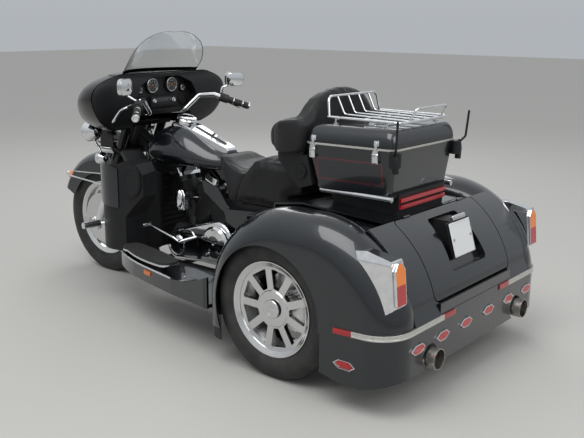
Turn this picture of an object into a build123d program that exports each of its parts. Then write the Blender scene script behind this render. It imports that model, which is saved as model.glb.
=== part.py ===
from build123d import *
import os
from math import cos, radians, sin, sqrt, tan

os.makedirs("parts", exist_ok=True)

# A three-wheeled touring motorcycle, in mm. The front points to -Y, the left side is +X,
# the floor is Z = 0 and the origin is on the floor under the middle of the whole machine.

# Overall sizes
wheelbase = 1752
rear_track = 1030
front_axle_y = -1027
rear_axle_y = front_axle_y + wheelbase

# Clearances
rest_gap = 0.3       # between two pieces that rest on each other
running_gap = 0.3    # a wheel or a stem round its pin

# Wheels and tyres
front_tyre_r = 320
front_tyre_w = 130
front_rim_r = 215    # visible flange
rear_tyre_r = 303
rear_tyre_w = 205
rear_rim_r = 203
spoke_count = 9
bead_depth = 14      # flange height over the bead seat
front_disc_x = 73
front_disc_r = 146
front_axle_r = 12.5
front_hub_half = 93
spindle_r = 20
spindle_x = 570      # outer end of the rear spindles
front_axle_z = front_tyre_r
rear_axle_z = rear_tyre_r

# Fork and steering
rake = 26            # degrees from upright
leg_x = 125          # half the spacing of the fork legs
leg_back = 32        # the legs sit behind the steering axis
fork_tube_r = 24.5
lower_leg_r = 31
lower_leg_top = 300  # along the leg from the axle
cover_r = 34         # black tubes over the fork above the lower legs
clamp_low = 480      # underside of the lower clamp
clamp_t = 26
clamp_play = 5
neck_len = 148
neck_r = 38
stem_r = 15
bar_r = 12.7
fender_half = 87     # front fender
headlamp_r = 96
nacelle_half = 118
bar_up = 25          # bar centre over the upper clamp

# Frame
backbone_r = 22
backbone_front = (-620, 778)   # Y and Z of its bends
backbone_mid = (-70, 730)
backbone_drop = (60, 640)
cradle_r = 16
cradle_x = 105
cradle_z = 185
rail_x = 150
seat_rail_r = 13
seat_rail_z = 576

# Engine
crank_y = -280
crank_z = 330
vee_half = 22.5      # degrees each side of upright
fin_r = 74
barrel_r = 58
fin_t = 4
fin_pitch = 10
fin_count = 13
case_top_z = 395
case_low_z = 215
case_half = 88
port_up = 275         # along a cylinder from the crank to its exhaust port

# Tank
tunnel_half = 30
console_half = 62    # at the cap
console_tail = 34    # at the seat

# Engine guard
guard_x = 236
guard_y = -545
peg_z = 404
guard_r = 12

# Rear body
crest_r = rear_tyre_r + 140   # from the two arc centres to the top of the fender
roll_r = 130         # roundness of the fender across its crest
skin = 6
arc_front_y = rear_axle_y + 75
arc_rear_y = rear_axle_y + 175
arc_z = rear_axle_z - 18
fender_low_z = 172
arch_r = rear_tyre_r - 26
bumper_top_z = 345
bumper_t = 8
fender_x = rear_track / 2 + 5
body_half = fender_x + roll_r
deck_half = 308
deck_step = 22
lid_half = 328
lid_gap = 5
lid_top = (rear_axle_y + 392, 684)    # Y and Z of the trunk lid's upper and lower edges
lid_low = (rear_axle_y + 600, 394)
lid_swell = 36       # its bulge over a straight line between them
recess_depth = 30    # round the number plate
plate_top = (rear_axle_y + 503, 652)
plate_low = (rear_axle_y + 547, 506)
lid_axis = (rear_axle_y + 390, 685)
tub_half = 300
tub_floor_z = 350

# Top box
box_low_z = 762
box_seam_z = 955
box_top_z = 1028
box_wall = 5
lid_play = 2
box_hinge_x = -294
bar_drop = 13        # pedestal bars under the box floor
exhaust_x = 380
exhaust_z = 193
tip_r = 42


def at_side(x):
    return Plane(origin=(x, 0, 0), x_dir=(0, 1, 0), z_dir=(1, 0, 0))


def at_front(y):
    return Plane(origin=(0, y, 0), x_dir=(1, 0, 0), z_dir=(0, -1, 0))


def tube(points, radius, bend=0):
    with BuildLine() as path:
        if len(points) > 2:
            FilletPolyline(*points, radius=bend)
        else:
            Line(*points)
    with BuildSketch(Plane(origin=path.line @ 0, z_dir=path.line % 0)) as section:
        Circle(radius)
    sweep(section.sketch, path=path.line)


def rod(start, end, radius, mode=Mode.ADD):
    along = Vector(*end) - Vector(*start)
    with BuildSketch(Plane(origin=start, z_dir=along)) as section:
        Circle(radius)
    extrude(section.sketch, amount=along.length, mode=mode)


def slab(points, plane, amount, corner=0, mode=Mode.ADD):
    with BuildSketch(plane) as outline:
        Polygon(*points, align=None)
        if corner:
            fillet(outline.vertices(), radius=corner)
    extrude(outline.sketch, amount=amount, mode=mode)


def turned(points, origin, along, mode=Mode.ADD):
    # each point is (distance along the axis, radius)
    spare = Vector(0, 1, 0) if abs(along[1]) < 0.5 else Vector(1, 0, 0)
    with BuildSketch(Plane(origin=origin, x_dir=along, z_dir=Vector(*along).cross(spare))) as outline:
        Polygon(*points, align=None)
    revolve(outline.sketch, axis=Axis(origin, along), mode=mode)


def finish(builder, name):
    builder.part.label = name
    export_step(builder.part, "parts/" + name + ".step")


def both(points):
    # a left-hand outline and its mirror image, as one closed outline
    return points + [(-x, other) for x, other in reversed(points)]


# Steering frame of reference: origin on the front axle, Z up the steering axis, Y rearward
steer_dir = (0, sin(radians(rake)), cos(radians(rake)))
steer = Plane(origin=(0, front_axle_y, front_axle_z), x_dir=(1, 0, 0), z_dir=steer_dir)
neck_low = clamp_low + clamp_t + clamp_play
clamp_high = neck_low + neck_len + clamp_play
clamp_top = clamp_high + clamp_t


def steered(x, back, up):
    return tuple(steer.from_local_coords(Vector(x, back, up)))


# Wheels


def cast_wheel(centre, rim_r, width, hub_r, face, bore_r, bore_end, hub_inner, discs):
    # face is the outer side of the spokes, measured from the wheel's middle
    half = width / 2
    seat_r = rim_r - bead_depth
    x, y, z = centre
    spoke_t = 26
    turned(
        [(-half, rim_r), (5 - half, rim_r), (6 - half, seat_r), (half - 6, seat_r), (half - 5, rim_r),
         (half, rim_r), (half, rim_r - 4), (half - 12, seat_r - 9), (12 - half, seat_r - 9),
         (-half, rim_r - 4)],
        centre, (1, 0, 0),
    )
    turned([(face - spoke_t, 0), (face - spoke_t, seat_r - 5), (face, seat_r - 5), (face - 6, seat_r - 24),
            (face - 4, hub_r + 4), (face, hub_r), (face, 0)], centre, (1, 0, 0))
    inner, outer = hub_r + 9, seat_r - 20
    wide = radians(14.5)
    narrow = radians(9)
    with BuildSketch(Plane(origin=(x + face - 60, y, z), x_dir=(0, 1, 0), z_dir=(1, 0, 0))) as windows:
        with PolarLocations(0, spoke_count):
            Polygon((inner, -inner * tan(narrow)), (outer * cos(wide), -outer * sin(wide)),
                    (outer * cos(wide), outer * sin(wide)), (inner, inner * tan(narrow)), align=None)
        fillet(windows.vertices(), radius=6)
    extrude(windows.sketch, amount=90, mode=Mode.SUBTRACT)
    turned([(hub_inner, 0), (hub_inner, hub_r * 0.55), (face - 5, hub_r * 0.55), (face - 5, 0)],
           centre, (1, 0, 0))
    for disc_x, disc_r in discs:
        turned([(disc_x, 10), (disc_x, disc_r), (disc_x + 5, disc_r), (disc_x + 5, 10)], centre, (1, 0, 0))
    rod((x + hub_inner - 1, y, z), (x + bore_end, y, z), bore_r + running_gap, mode=Mode.SUBTRACT)


def round_tyre(centre, tyre_r, width, rim_r):
    half = width / 2
    bead_x = half - bead_depth
    seat_r = rim_r - bead_depth + rest_gap
    wall_r = (rim_r + tyre_r) / 2 - 6
    with BuildSketch(Plane(origin=centre, x_dir=(1, 0, 0), z_dir=(0, -1, 0))) as section:
        with BuildLine():
            Polyline((-bead_x, rim_r), (-bead_x, seat_r), (bead_x, seat_r), (bead_x, rim_r))
            ThreePointArc((bead_x, rim_r), (half, wall_r), (half * 0.86, tyre_r - 14))
            ThreePointArc((half * 0.86, tyre_r - 14), (half * 0.78, tyre_r - 4.5), (half * 0.6, tyre_r - 1))
            ThreePointArc((half * 0.6, tyre_r - 1), (0, tyre_r), (-half * 0.6, tyre_r - 1))
            ThreePointArc((-half * 0.6, tyre_r - 1), (-half * 0.78, tyre_r - 4.5),
                          (-half * 0.86, tyre_r - 14))
            ThreePointArc((-half * 0.86, tyre_r - 14), (-half, wall_r), (-bead_x, rim_r))
        make_face()
    revolve(section.sketch, axis=Axis(centre, (1, 0, 0)))


front_centre = (0, front_axle_y, front_axle_z)
rear_centre = (rear_track / 2, rear_axle_y, rear_axle_z)
front_wheel_w = front_tyre_w - 2 * bead_depth + 12
rear_wheel_w = rear_tyre_w - 2 * bead_depth + 12

with BuildPart() as front_wheel:
    cast_wheel(front_centre, front_rim_r, front_wheel_w, 62, 13, front_axle_r, 120,
               -front_hub_half, [])
    turned([(0, 12), (0, 34), (front_hub_half, 34), (front_hub_half, 12)], front_centre, (1, 0, 0))
    for disc_x in (front_disc_x, -front_disc_x - 5):
        turned([(disc_x, 12), (disc_x, front_disc_r), (disc_x + 5, front_disc_r), (disc_x + 5, 12)],
               front_centre, (1, 0, 0))
    rod((-100, front_axle_y, front_axle_z), (100, front_axle_y, front_axle_z),
        front_axle_r + running_gap, mode=Mode.SUBTRACT)
finish(front_wheel, "front_wheel")

with BuildPart() as front_tyre:
    round_tyre(front_centre, front_tyre_r, front_tyre_w, front_rim_r)
finish(front_tyre, "front_tyre")

with BuildPart() as rear_wheel_left:
    cast_wheel(rear_centre, rear_rim_r, rear_wheel_w, 75, 78, spindle_r,
               spindle_x - rear_track / 2 + 2, -70, [(-70, 140)])
    turned([(76, 0), (76, 24), (84, 22), (86, 0)], rear_centre, (1, 0, 0))
finish(rear_wheel_left, "rear_wheel_left")

with BuildPart() as rear_tyre_left:
    round_tyre(rear_centre, rear_tyre_r, rear_tyre_w, rear_rim_r)
finish(rear_tyre_left, "rear_tyre_left")

with BuildPart() as rear_wheel_right:
    mirror(rear_wheel_left.part, about=Plane.YZ)
finish(rear_wheel_right, "rear_wheel_right")

with BuildPart() as rear_tyre_right:
    mirror(rear_tyre_left.part, about=Plane.YZ)
finish(rear_tyre_right, "rear_tyre_right")

# Fork

with BuildPart() as fork_legs:
    foot = steered(leg_x, leg_back, 0)
    turned([(-36, 0), (-36, 18), (-26, 25), (60, 27), (110, lower_leg_r), (lower_leg_top, lower_leg_r),
            (lower_leg_top, 0)], foot, steer_dir)
    rod((leg_x - 24, front_axle_y, front_axle_z), (leg_x + 24, front_axle_y, front_axle_z), 24)
    rod((leg_x - 30, front_axle_y, front_axle_z), (leg_x + 30, front_axle_y, front_axle_z),
        front_axle_r + rest_gap, mode=Mode.SUBTRACT)
    mirror(about=Plane.YZ)
finish(fork_legs, "fork_legs")

with BuildPart() as front_axle:
    rod((-leg_x - 34, front_axle_y, front_axle_z), (leg_x + 34, front_axle_y, front_axle_z), front_axle_r)
    for side in (-1, 1):
        rod((side * (leg_x + 24.5), front_axle_y, front_axle_z),
            (side * (leg_x + 38), front_axle_y, front_axle_z), 19)
finish(front_axle, "front_axle")

with BuildPart() as fork_clamps:
    for side in (-1, 1):
        rod(steered(side * leg_x, leg_back, lower_leg_top + rest_gap),
            steered(side * leg_x, leg_back, clamp_top), fork_tube_r)
        rod(steered(side * leg_x, leg_back, lower_leg_top + rest_gap),
            steered(side * leg_x, leg_back, clamp_low + 1), cover_r)
        rod(steered(side * 45, 20, clamp_top - 1),
            steered(side * 45, 20, clamp_top + bar_up - bar_r - rest_gap), 15)
    rod(steered(0, 0, clamp_low), steered(0, 0, clamp_top), stem_r)
    clamp_outline = both([(0, -44), (44, -40), (leg_x + 34, 8), (leg_x + 30, 62), (40, 62)])
    for side in (-1, 1):
        tube([steered(side * 60, -30, clamp_high + clamp_t / 2), (side * 84, -868, 872),
              (side * (nacelle_half - 6 - rest_gap), -868, 872)], 8, 12)
    for up in (clamp_low, clamp_high):
        slab(clamp_outline[1:], Plane(origin=steered(0, 0, up), x_dir=(1, 0, 0), z_dir=steer_dir), clamp_t)
finish(fork_clamps, "fork_clamps")

with BuildPart() as front_calipers:
    for side in (-1, 1):
        hang = Plane(origin=(side * 84, front_axle_y, front_axle_z), x_dir=(0, 1, 0), z_dir=(side, 0, 0))
        with BuildSketch(hang) as pad:
            with PolarLocations(128, 1, start_angle=35 * side):
                RectangleRounded(58, 104, 16)
        extrude(pad.sketch, amount=leg_x - lower_leg_r - rest_gap - 84)
finish(front_calipers, "front_calipers")

with BuildPart() as front_fender:
    inner_r = front_tyre_r + 34
    inside = fender_half - 4
    with BuildSketch(Plane(origin=front_centre, x_dir=(1, 0, 0), z_dir=(0, -1, 0))) as section:
        with BuildLine():
            Polyline((fender_half, 262), (fender_half, inner_r - 14))
            ThreePointArc((fender_half, inner_r - 14), (62, inner_r + 18), (0, inner_r + 28))
            ThreePointArc((0, inner_r + 28), (-62, inner_r + 18), (-fender_half, inner_r - 14))
            Polyline((-fender_half, inner_r - 14), (-fender_half, 262), (-inside, 262),
                     (-inside, inner_r - 14))
            ThreePointArc((-inside, inner_r - 14), (-59, inner_r + 14), (0, inner_r + 24))
            ThreePointArc((0, inner_r + 24), (59, inner_r + 14), (inside, inner_r - 14))
            Polyline((inside, inner_r - 14), (inside, 262), (fender_half, 262))
        make_face()
    revolve(section.sketch, axis=Axis(front_centre, (1, 0, 0)), revolution_arc=66)
    revolve(section.sketch, axis=Axis(front_centre, (-1, 0, 0)), revolution_arc=96)
    for side in (-1, 1):
        rod(steered(side * 85, leg_back, 284), steered(side * (leg_x - lower_leg_r - rest_gap), leg_back, 284), 12)
finish(front_fender, "front_fender")

with BuildPart() as fender_rails:
    tip_y, tip_z = front_axle_y - 352, front_axle_z + 222
    rear_y, rear_z = front_axle_y + 55, front_axle_z + 205
    beside = fender_half + 5 + rest_gap
    tube([(beside, rear_y, rear_z), (beside, tip_y + 70, tip_z), (60, tip_y, tip_z + 4), (-60, tip_y, tip_z + 4),
          (-beside, tip_y + 70, tip_z), (-beside, rear_y, rear_z)], 5, 30)
finish(fender_rails, "fender_rails")

# Handlebar and what sits on it

grip_end = (400, -315, 988)
bar_bend = (268, -440, 1050)
bar_rise = [(200, -490, 1049), (122, -528, 972)]
bar_root = steered(110, 20, clamp_top + bar_up)
with BuildPart() as handlebar:
    half_bar = [grip_end, bar_bend] + bar_rise + [bar_root]
    tube(half_bar + [(-x, y, z) for x, y, z in reversed(half_bar)], bar_r, 26)
finish(handlebar, "handlebar")

grip_dir = (Vector(*grip_end) - Vector(*bar_bend)).normalized()


def on_grip(back):
    return tuple(Vector(*grip_end) - grip_dir * back)


with BuildPart() as hand_controls:
    rod(on_grip(112), on_grip(-6), 18)
    rod(on_grip(113), on_grip(0), bar_r + rest_gap, mode=Mode.SUBTRACT)
    rod(on_grip(158), on_grip(111), 24)
    rod(on_grip(159), on_grip(110), bar_r + rest_gap, mode=Mode.SUBTRACT)
    hub = Vector(*on_grip(146))
    lever = [hub + Vector(16, -30, -4), hub + Vector(60, -55, -18), hub + Vector(150, -12, -66)]
    rod(hub + Vector(10, -18, -2), lever[0], 9)
    tube([tuple(point) for point in lever], 5.5, 30)
    mirror(about=Plane.YZ)
finish(hand_controls, "hand_controls")

mirror_at = Vector(388, -392, 1131)
with BuildPart() as mirrors:
    face = Plane(origin=mirror_at, x_dir=(0.94, 0.34, 0), z_dir=(-0.34, 0.94, 0))
    with BuildSketch(face) as shell_outline:
        RectangleRounded(112, 80, 30)
    extrude(shell_outline.sketch, amount=-18)
    tube([tuple(hub + Vector(4, -14, 21)), tuple(hub + Vector(40, -40, 50)),
          tuple(mirror_at + Vector(-8, -14, -30))], 5, 12)
    mirror(about=Plane.YZ)
    add(hand_controls.part, mode=Mode.SUBTRACT)
finish(mirrors, "mirrors")

# Fairing: columns are height, half width, front Y, rear Y and how far the inner panel swells rearward
wing_rows = [
    (890, 318, -1000, -602, 8),
    (912, 366, -1012, -590, 18),
    (945, 412, -1014, -578, 30),
    (990, 446, -996, -570, 42),
    (1040, 468, -956, -566, 48),
    (1090, 468, -896, -562, 46),
    (1135, 430, -822, -556, 34),
    (1165, 360, -760, -550, 20),
    (1182, 282, -714, -546, 8),
]
steer_gap = leg_x + 75
lamp_x, lamp_y, lamp_z = 205, -905, 850


def wing_loft(inset):
    # half ellipses stacked up; an inset copy runs out behind
    faces = []
    for up, widest, front, back, swell in wing_rows:
        half = widest - inset
        with BuildSketch(Plane.XY.offset(up)) as row:
            with BuildLine():
                EllipticalCenterArc((0, back), half, back - front - inset, 180, arc_size=180)
                if inset:
                    Polyline((half, back), (half, back + 60), (-half, back + 60), (-half, back))
                else:
                    Line((half, back), (-half, back))
            make_face()
        faces.append(row.sketch)
    loft(faces)


def wing_between(low, high):
    slab([(-600, low), (600, low), (600, high), (-600, high)], at_front(-300), 900, mode=Mode.INTERSECT)


with BuildPart() as wing_room:
    wing_loft(6)
    wing_between(wing_rows[0][0] + 6, wing_rows[-1][0] - 5)

with BuildPart() as outer_fairing:
    wing_loft(0)
    add(wing_room.part, mode=Mode.SUBTRACT)
    with BuildSketch(Plane.XY.offset(742)) as nose:
        with BuildLine():
            Line((118, -850), (118, -960))
            ThreePointArc((118, -960), (0, -1008), (-118, -960))
            Polyline((-118, -960), (-118, -850), (-112, -850), (-112, -956))
            ThreePointArc((-112, -956), (0, -1002), (112, -956))
            Polyline((112, -956), (112, -850), (118, -850))
        make_face()
    extrude(nose.sketch, amount=893 - 742)
    rod((0, -900, 835), (0, -1100, 835), headlamp_r + rest_gap, mode=Mode.SUBTRACT)
    slab([(-steer_gap, -862), (steer_gap, -862), (steer_gap, -540), (-steer_gap, -540)],
         Plane.XY.offset(880), 20, mode=Mode.SUBTRACT)
    for side in (-1, 1):
        rod((side * lamp_x, -860, lamp_z), (side * lamp_x, -1100, lamp_z), 60, mode=Mode.SUBTRACT)
finish(outer_fairing, "outer_fairing")

with BuildPart() as windshield:
    sheet = []
    for level, half, middle, side in ((1182.3, 300, -694, -512), (1400, 300, -452, -395)):
        with BuildSketch(Plane.XY.offset(level)) as row:
            with BuildLine():
                ThreePointArc((half, side), (0, middle), (-half, side))
                Line((-half, side), (-half, side + 5))
                ThreePointArc((-half, side + 5), (0, middle + 5), (half, side + 5))
                Line((half, side + 5), (half, side))
            make_face()
        sheet.append(row.sketch)
    loft(sheet)
    with BuildSketch(at_front(-300)) as outline:
        with BuildLine():
            Polyline((-256, 1182), (256, 1182))
            ThreePointArc((256, 1182), (250, 1275), (206, 1338))
            ThreePointArc((206, 1338), (130, 1378), (0, 1389))
            ThreePointArc((0, 1389), (-130, 1378), (-206, 1338))
            ThreePointArc((-206, 1338), (-250, 1275), (-256, 1182))
        make_face()
    extrude(outline.sketch, amount=600, mode=Mode.INTERSECT)
finish(windshield, "windshield")

panel_y = -640
dash_y = -574
with BuildPart() as panel_swell:
    swell_rows = []
    for up, half, front, back, swell in wing_rows:
        with BuildSketch(Plane.XY.offset(up)) as row:
            with BuildLine():
                Polyline((half, back - 6), (half, panel_y), (-half, panel_y), (-half, back - 6))
                EllipticalCenterArc((0, back - 6), half, swell + 6, 0, arc_size=180)
            make_face()
        swell_rows.append(row.sketch)
    loft(swell_rows)

with BuildPart() as inner_fairing:
    wing_loft(6 + rest_gap)
    wing_between(wing_rows[0][0] + 6 + rest_gap, wing_rows[-1][0] - 5 - rest_gap)
    add(panel_swell.part, mode=Mode.INTERSECT)
    with BuildSketch(at_front(dash_y)) as recess:
        Polygon(*both([(90, 1160), (176, 1124), (214, 1056), (190, 990)]), align=None)
        fillet(recess.vertices(), radius=20)
    extrude(recess.sketch, amount=-100, mode=Mode.SUBTRACT)
    for side in (-1, 1):
        for x, up, big, deep in ((68, 1112, 46, 18), (150, 1091, 23, 14), (150, 1027, 30, 10)):
            turned([(0, 0), (0, big), (deep - 3, big - 1), (deep, big - 3), (deep, big - 6), (deep - 6, big - 7),
                    (deep - 6, 0)], (side * x, dash_y - 1, up), (0, 1, 0))
    with BuildSketch(at_front(dash_y + 18)) as radio:
        with Locations((0, 1027)):
            RectangleRounded(178, 54, 8)
    extrude(radio.sketch, amount=19)
    notch = leg_x + 85
    slab([(-notch, 880), (notch, 880), (notch - 24, 962), (24 - notch, 962)], at_front(panel_y + 160), 200,
         mode=Mode.SUBTRACT)
    for side in (-1, 1):
        line = [(side * x, y, z) for x, y, z in [bar_bend] + bar_rise + [bar_root]]
        for start, end in zip(line, line[1:]):
            rod(start, end, bar_r + 12, mode=Mode.SUBTRACT)
finish(inner_fairing, "inner_fairing")

with BuildPart() as front_lamps:
    turned([(0, 0), (0, 70), (24, headlamp_r), (100, headlamp_r), (100, 84), (88, 82), (88, 0)],
           (0, -955, 835), (0, -1, 0))
    turned([(-45, 0), (-38, 26), (-10, 50), (30, 57), (36, 57), (36, 50), (26, 48), (26, 0)],
           (lamp_x, lamp_y, lamp_z), (0, -1, 0))
    turned([(-30, 0), (-24, 18), (0, 33), (26, 35), (26, 0)], (lamp_x + 5, lamp_y + 78, 712), (0, -1, 0))
    tube([(lamp_x, lamp_y + 10, lamp_z - 50), (lamp_x, lamp_y + 30, 770), (120, lamp_y + 72, 752),
          (40, lamp_y + 72, 752)], 7, 18)
    rod((lamp_x + 5, lamp_y + 68, 740), (lamp_x, lamp_y + 40, 768), 6)
    mirror(about=Plane.YZ)
    add(fork_clamps.part, mode=Mode.SUBTRACT)
finish(front_lamps, "front_lamps")

with BuildPart() as lamp_glass:
    turned([(0, 0), (0, 81), (8, 76), (14, 50), (17, 0)], (0, -955 - 88.3, 835), (0, -1, 0))
    for side in (-1, 1):
        turned([(0, 0), (0, 47), (6, 44), (10, 0)], (side * lamp_x, lamp_y - 26.3, lamp_z), (0, -1, 0))
        turned([(0, 0), (0, 33), (6, 30), (9, 0)], (side * (lamp_x + 5), lamp_y + 78 - 26.3, 712), (0, -1, 0))
finish(lamp_glass, "lamp_glass")

# Frame

with BuildPart() as frame:
    rod(steered(0, 0, neck_low), steered(0, 0, neck_low + neck_len), neck_r)
    tube([steered(0, 20, neck_low + 90), (0, *backbone_front), (0, *backbone_mid), (0, *backbone_drop),
          (0, 120, seat_rail_z)], backbone_r, 60)
    for side in (-1, 1):
        tube([(side * 14, -735, 828), (side * 40, -640, 742), (side * 90, -600, 640),
              (side * cradle_x, -560, 260), (side * cradle_x, -500, cradle_z), (side * cradle_x, 100, cradle_z),
              (side * rail_x, 260, cradle_z), (side * rail_x, arc_rear_y + crest_r - bumper_t - rest_gap, cradle_z)],
             cradle_r, 40)
        tube([(side * 6, 110, seat_rail_z), (side * 60, 130, seat_rail_z), (side * 110, 200, seat_rail_z),
              (side * 110, rear_axle_y - 245, seat_rail_z), (side * rail_x, rear_axle_y - 150, 480),
              (side * rail_x, rear_axle_y - 120, cradle_z)], seat_rail_r, 30)
        for along in (rear_axle_y + 180, rear_axle_y + 480):
            rod((side * rail_x, along, cradle_z), (side * rail_x, along, tub_floor_z - 5 - rest_gap), 12)
    for along, half in ((-480, cradle_x), (180, (cradle_x + rail_x) / 2)):
        rod((-half, along, cradle_z), (half, along, cradle_z), 13)
    for along in (-330, -10):
        rod((-cradle_x, along, cradle_z), (cradle_x, along, cradle_z), 13)
        for x in (-60, 60):
            rod((x, along, cradle_z), (x, along, case_low_z - rest_gap), 15)
    rod(steered(0, 0, neck_low - 1), steered(0, 0, neck_low + neck_len + 1), stem_r + running_gap,
        mode=Mode.SUBTRACT)
finish(frame, "frame")

with BuildPart() as rear_axle:
    rod((-400, rear_axle_y, rear_axle_z), (400, rear_axle_y, rear_axle_z), 34)
    rod((-spindle_x, rear_axle_y, rear_axle_z), (spindle_x, rear_axle_y, rear_axle_z), spindle_r)
    turned([(-75, 0), (-75, 55), (-45, 86), (45, 86), (75, 55), (75, 0)],
           (0, rear_axle_y, rear_axle_z), (1, 0, 0))
    for side in (-1, 1):
        slab([(rear_axle_y - 34, cradle_z + cradle_r + rest_gap), (rear_axle_y + 34, cradle_z + cradle_r + rest_gap),
              (rear_axle_y + 30, rear_axle_z), (rear_axle_y - 30, rear_axle_z)],
             at_side(side * rail_x - 12), 24)
        slab([(rear_axle_y + 96, rear_axle_z - 40), (rear_axle_y + 165, rear_axle_z - 40),
              (rear_axle_y + 165, rear_axle_z + 40), (rear_axle_y + 96, rear_axle_z + 40)],
             at_side(side * 424 - 10), 20, corner=10)
        slab([(rear_axle_y - 20, rear_axle_z - 24), (rear_axle_y + 138, rear_axle_z - 24),
              (rear_axle_y + 138, rear_axle_z + 24), (rear_axle_y - 20, rear_axle_z + 24)],
             at_side(side * 404 - 6), 12)
        rod((side * 400, rear_axle_y + 130, rear_axle_z), (side * 430, rear_axle_y + 130, rear_axle_z), 10)
finish(rear_axle, "rear_axle")

# Engine

with BuildPart() as engine_case:
    slab([(-425, 250), (-400, case_low_z), (30, case_low_z), (110, 240), (140, 330), (120, 440), (40, 470),
          (-60, 450), (-100, case_top_z), (-380, case_top_z), (-412, 350)], at_side(-case_half), 2 * case_half, corner=12)
    rod((-case_half - 38, crank_y, crank_z + 20), (1 - case_half, crank_y, crank_z + 20), 88)
    rod((60, 30, 520), (118, 30, 520), 30)
    slab([(0, 455), (60, 455), (60, 530), (0, 530)], at_side(60), case_half - 60)
    turned([(-1, 0), (-1, 38), (50, 38), (58, 34), (58, 0)], (0, -412, 268), (0, -1, 0))
    turned([(-1, 0), (-1, 54), (6, 52), (10, 44), (10, 0)], (-case_half - 38, crank_y, crank_z + 20), (-1, 0, 0))
finish(engine_case, "engine_case")

with BuildPart() as engine_cylinders:
    for lean in (-1, 1):
        up = (0, lean * sin(radians(vee_half)), cos(radians(vee_half)))
        root = Vector(0, crank_y, crank_z)
        barrel = Plane(origin=root + Vector(*up) * 100, x_dir=(1, 0, 0), z_dir=up)
        with BuildSketch(barrel) as core:
            Circle(barrel_r)
        extrude(core.sketch, amount=fin_count * fin_pitch + 96)
        extrude(core.sketch, amount=-70)
        for number in range(fin_count + 6):
            level = barrel.offset(14 + number * fin_pitch)
            with BuildSketch(level) as fin:
                if number < fin_count:
                    Circle(fin_r)
                else:
                    RectangleRounded(2 * fin_r, 2 * fin_r - 16, 20)
            extrude(fin.sketch, amount=fin_t)
    with BuildSketch(at_side(-90)) as vee:
        Polygon((-420, case_top_z + rest_gap), (-140, case_top_z + rest_gap), (60, 720), (-620, 720), align=None)
    extrude(vee.sketch, amount=180, mode=Mode.INTERSECT)
    split(bisect_by=Plane.XY.offset(case_top_z + rest_gap), keep=Keep.TOP)
finish(engine_cylinders, "engine_cylinders")

with BuildPart() as rocker_covers:
    for lean in (-1, 1):
        up = (0, lean * sin(radians(vee_half)), cos(radians(vee_half)))
        top = Vector(0, crank_y, crank_z) + Vector(*up) * (100 + fin_count * fin_pitch + 96 + rest_gap)
        for low, wide, across, high, lean_in in ((0, 156, 122, 18, 0), (17, 146, 100, 31, 7)):
            with BuildSketch(Plane(origin=top, x_dir=(1, 0, 0), z_dir=up).offset(low)) as tier:
                RectangleRounded(wide, across, 22)
            extrude(tier.sketch, amount=high, taper=lean_in)
finish(rocker_covers, "rocker_covers")

primary_x = case_half + rest_gap
with BuildPart() as primary_cover:
    with BuildSketch(at_side(primary_x)) as chaincase:
        with Locations((crank_y, crank_z - 15)):
            Circle(82)
        with Locations((8, crank_z + 42)):
            Circle(108)
        make_hull()
    extrude(chaincase.sketch, amount=96)
    fillet(primary_cover.faces().sort_by(Axis.X)[-1].edges(), radius=16)
    turned([(0, 0), (0, 88), (12, 86), (22, 74), (26, 40), (27, 0)],
           (primary_x + 96, 8, crank_z + 42), (1, 0, 0))
    turned([(0, 0), (0, 56), (7, 54), (10, 40), (10, 0)], (primary_x + 96, crank_y, crank_z - 15), (1, 0, 0))
finish(primary_cover, "primary_cover")

with BuildPart() as horn_cover:
    horn_at = Plane(origin=(fin_r + 44, crank_y - 8, crank_z + 214), x_dir=(0, 1, 0), z_dir=(1, 0, 0))
    slab([(-29, -54), (29, -54), (35, 24), (18, 56), (-18, 56), (-35, 24)], horn_at, 34, corner=12)
    fillet(horn_cover.faces().sort_by(Axis.X)[-1].edges(), radius=9)
    rod((40, crank_y, crank_z + 214), (fin_r + 45, crank_y, crank_z + 214), 6)
    rod((40, crank_y - 50, crank_z + 214), (40, crank_y + 50, crank_z + 214), 7)
    for lean in (-1, 1):
        up = Vector(0, lean * sin(radians(vee_half)), cos(radians(vee_half)))
        root = Vector(0, crank_y, crank_z)
        rod(root + up * 90, root + up * 420, fin_r + rest_gap, mode=Mode.SUBTRACT)
finish(horn_cover, "horn_cover")

with BuildPart() as air_cleaner:
    rod((-fin_r - 22, crank_y, crank_z + 218), (-fin_r - 76, crank_y, crank_z + 218), 84)
    fillet(air_cleaner.faces().sort_by(Axis.X)[0].edges(), radius=22)
    rod((-10, crank_y, crank_z + 226), (-fin_r - 24, crank_y, crank_z + 226), 14)
    add(engine_cylinders.part, mode=Mode.SUBTRACT)
cleaner_body = air_cleaner.part.solids().sort_by(SortBy.VOLUME)[-1]
with BuildPart() as air_cleaner:
    add(cleaner_body)
finish(air_cleaner, "air_cleaner")

# Exhaust: headers down the right side, a cross pipe and two mufflers behind the axle

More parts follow.
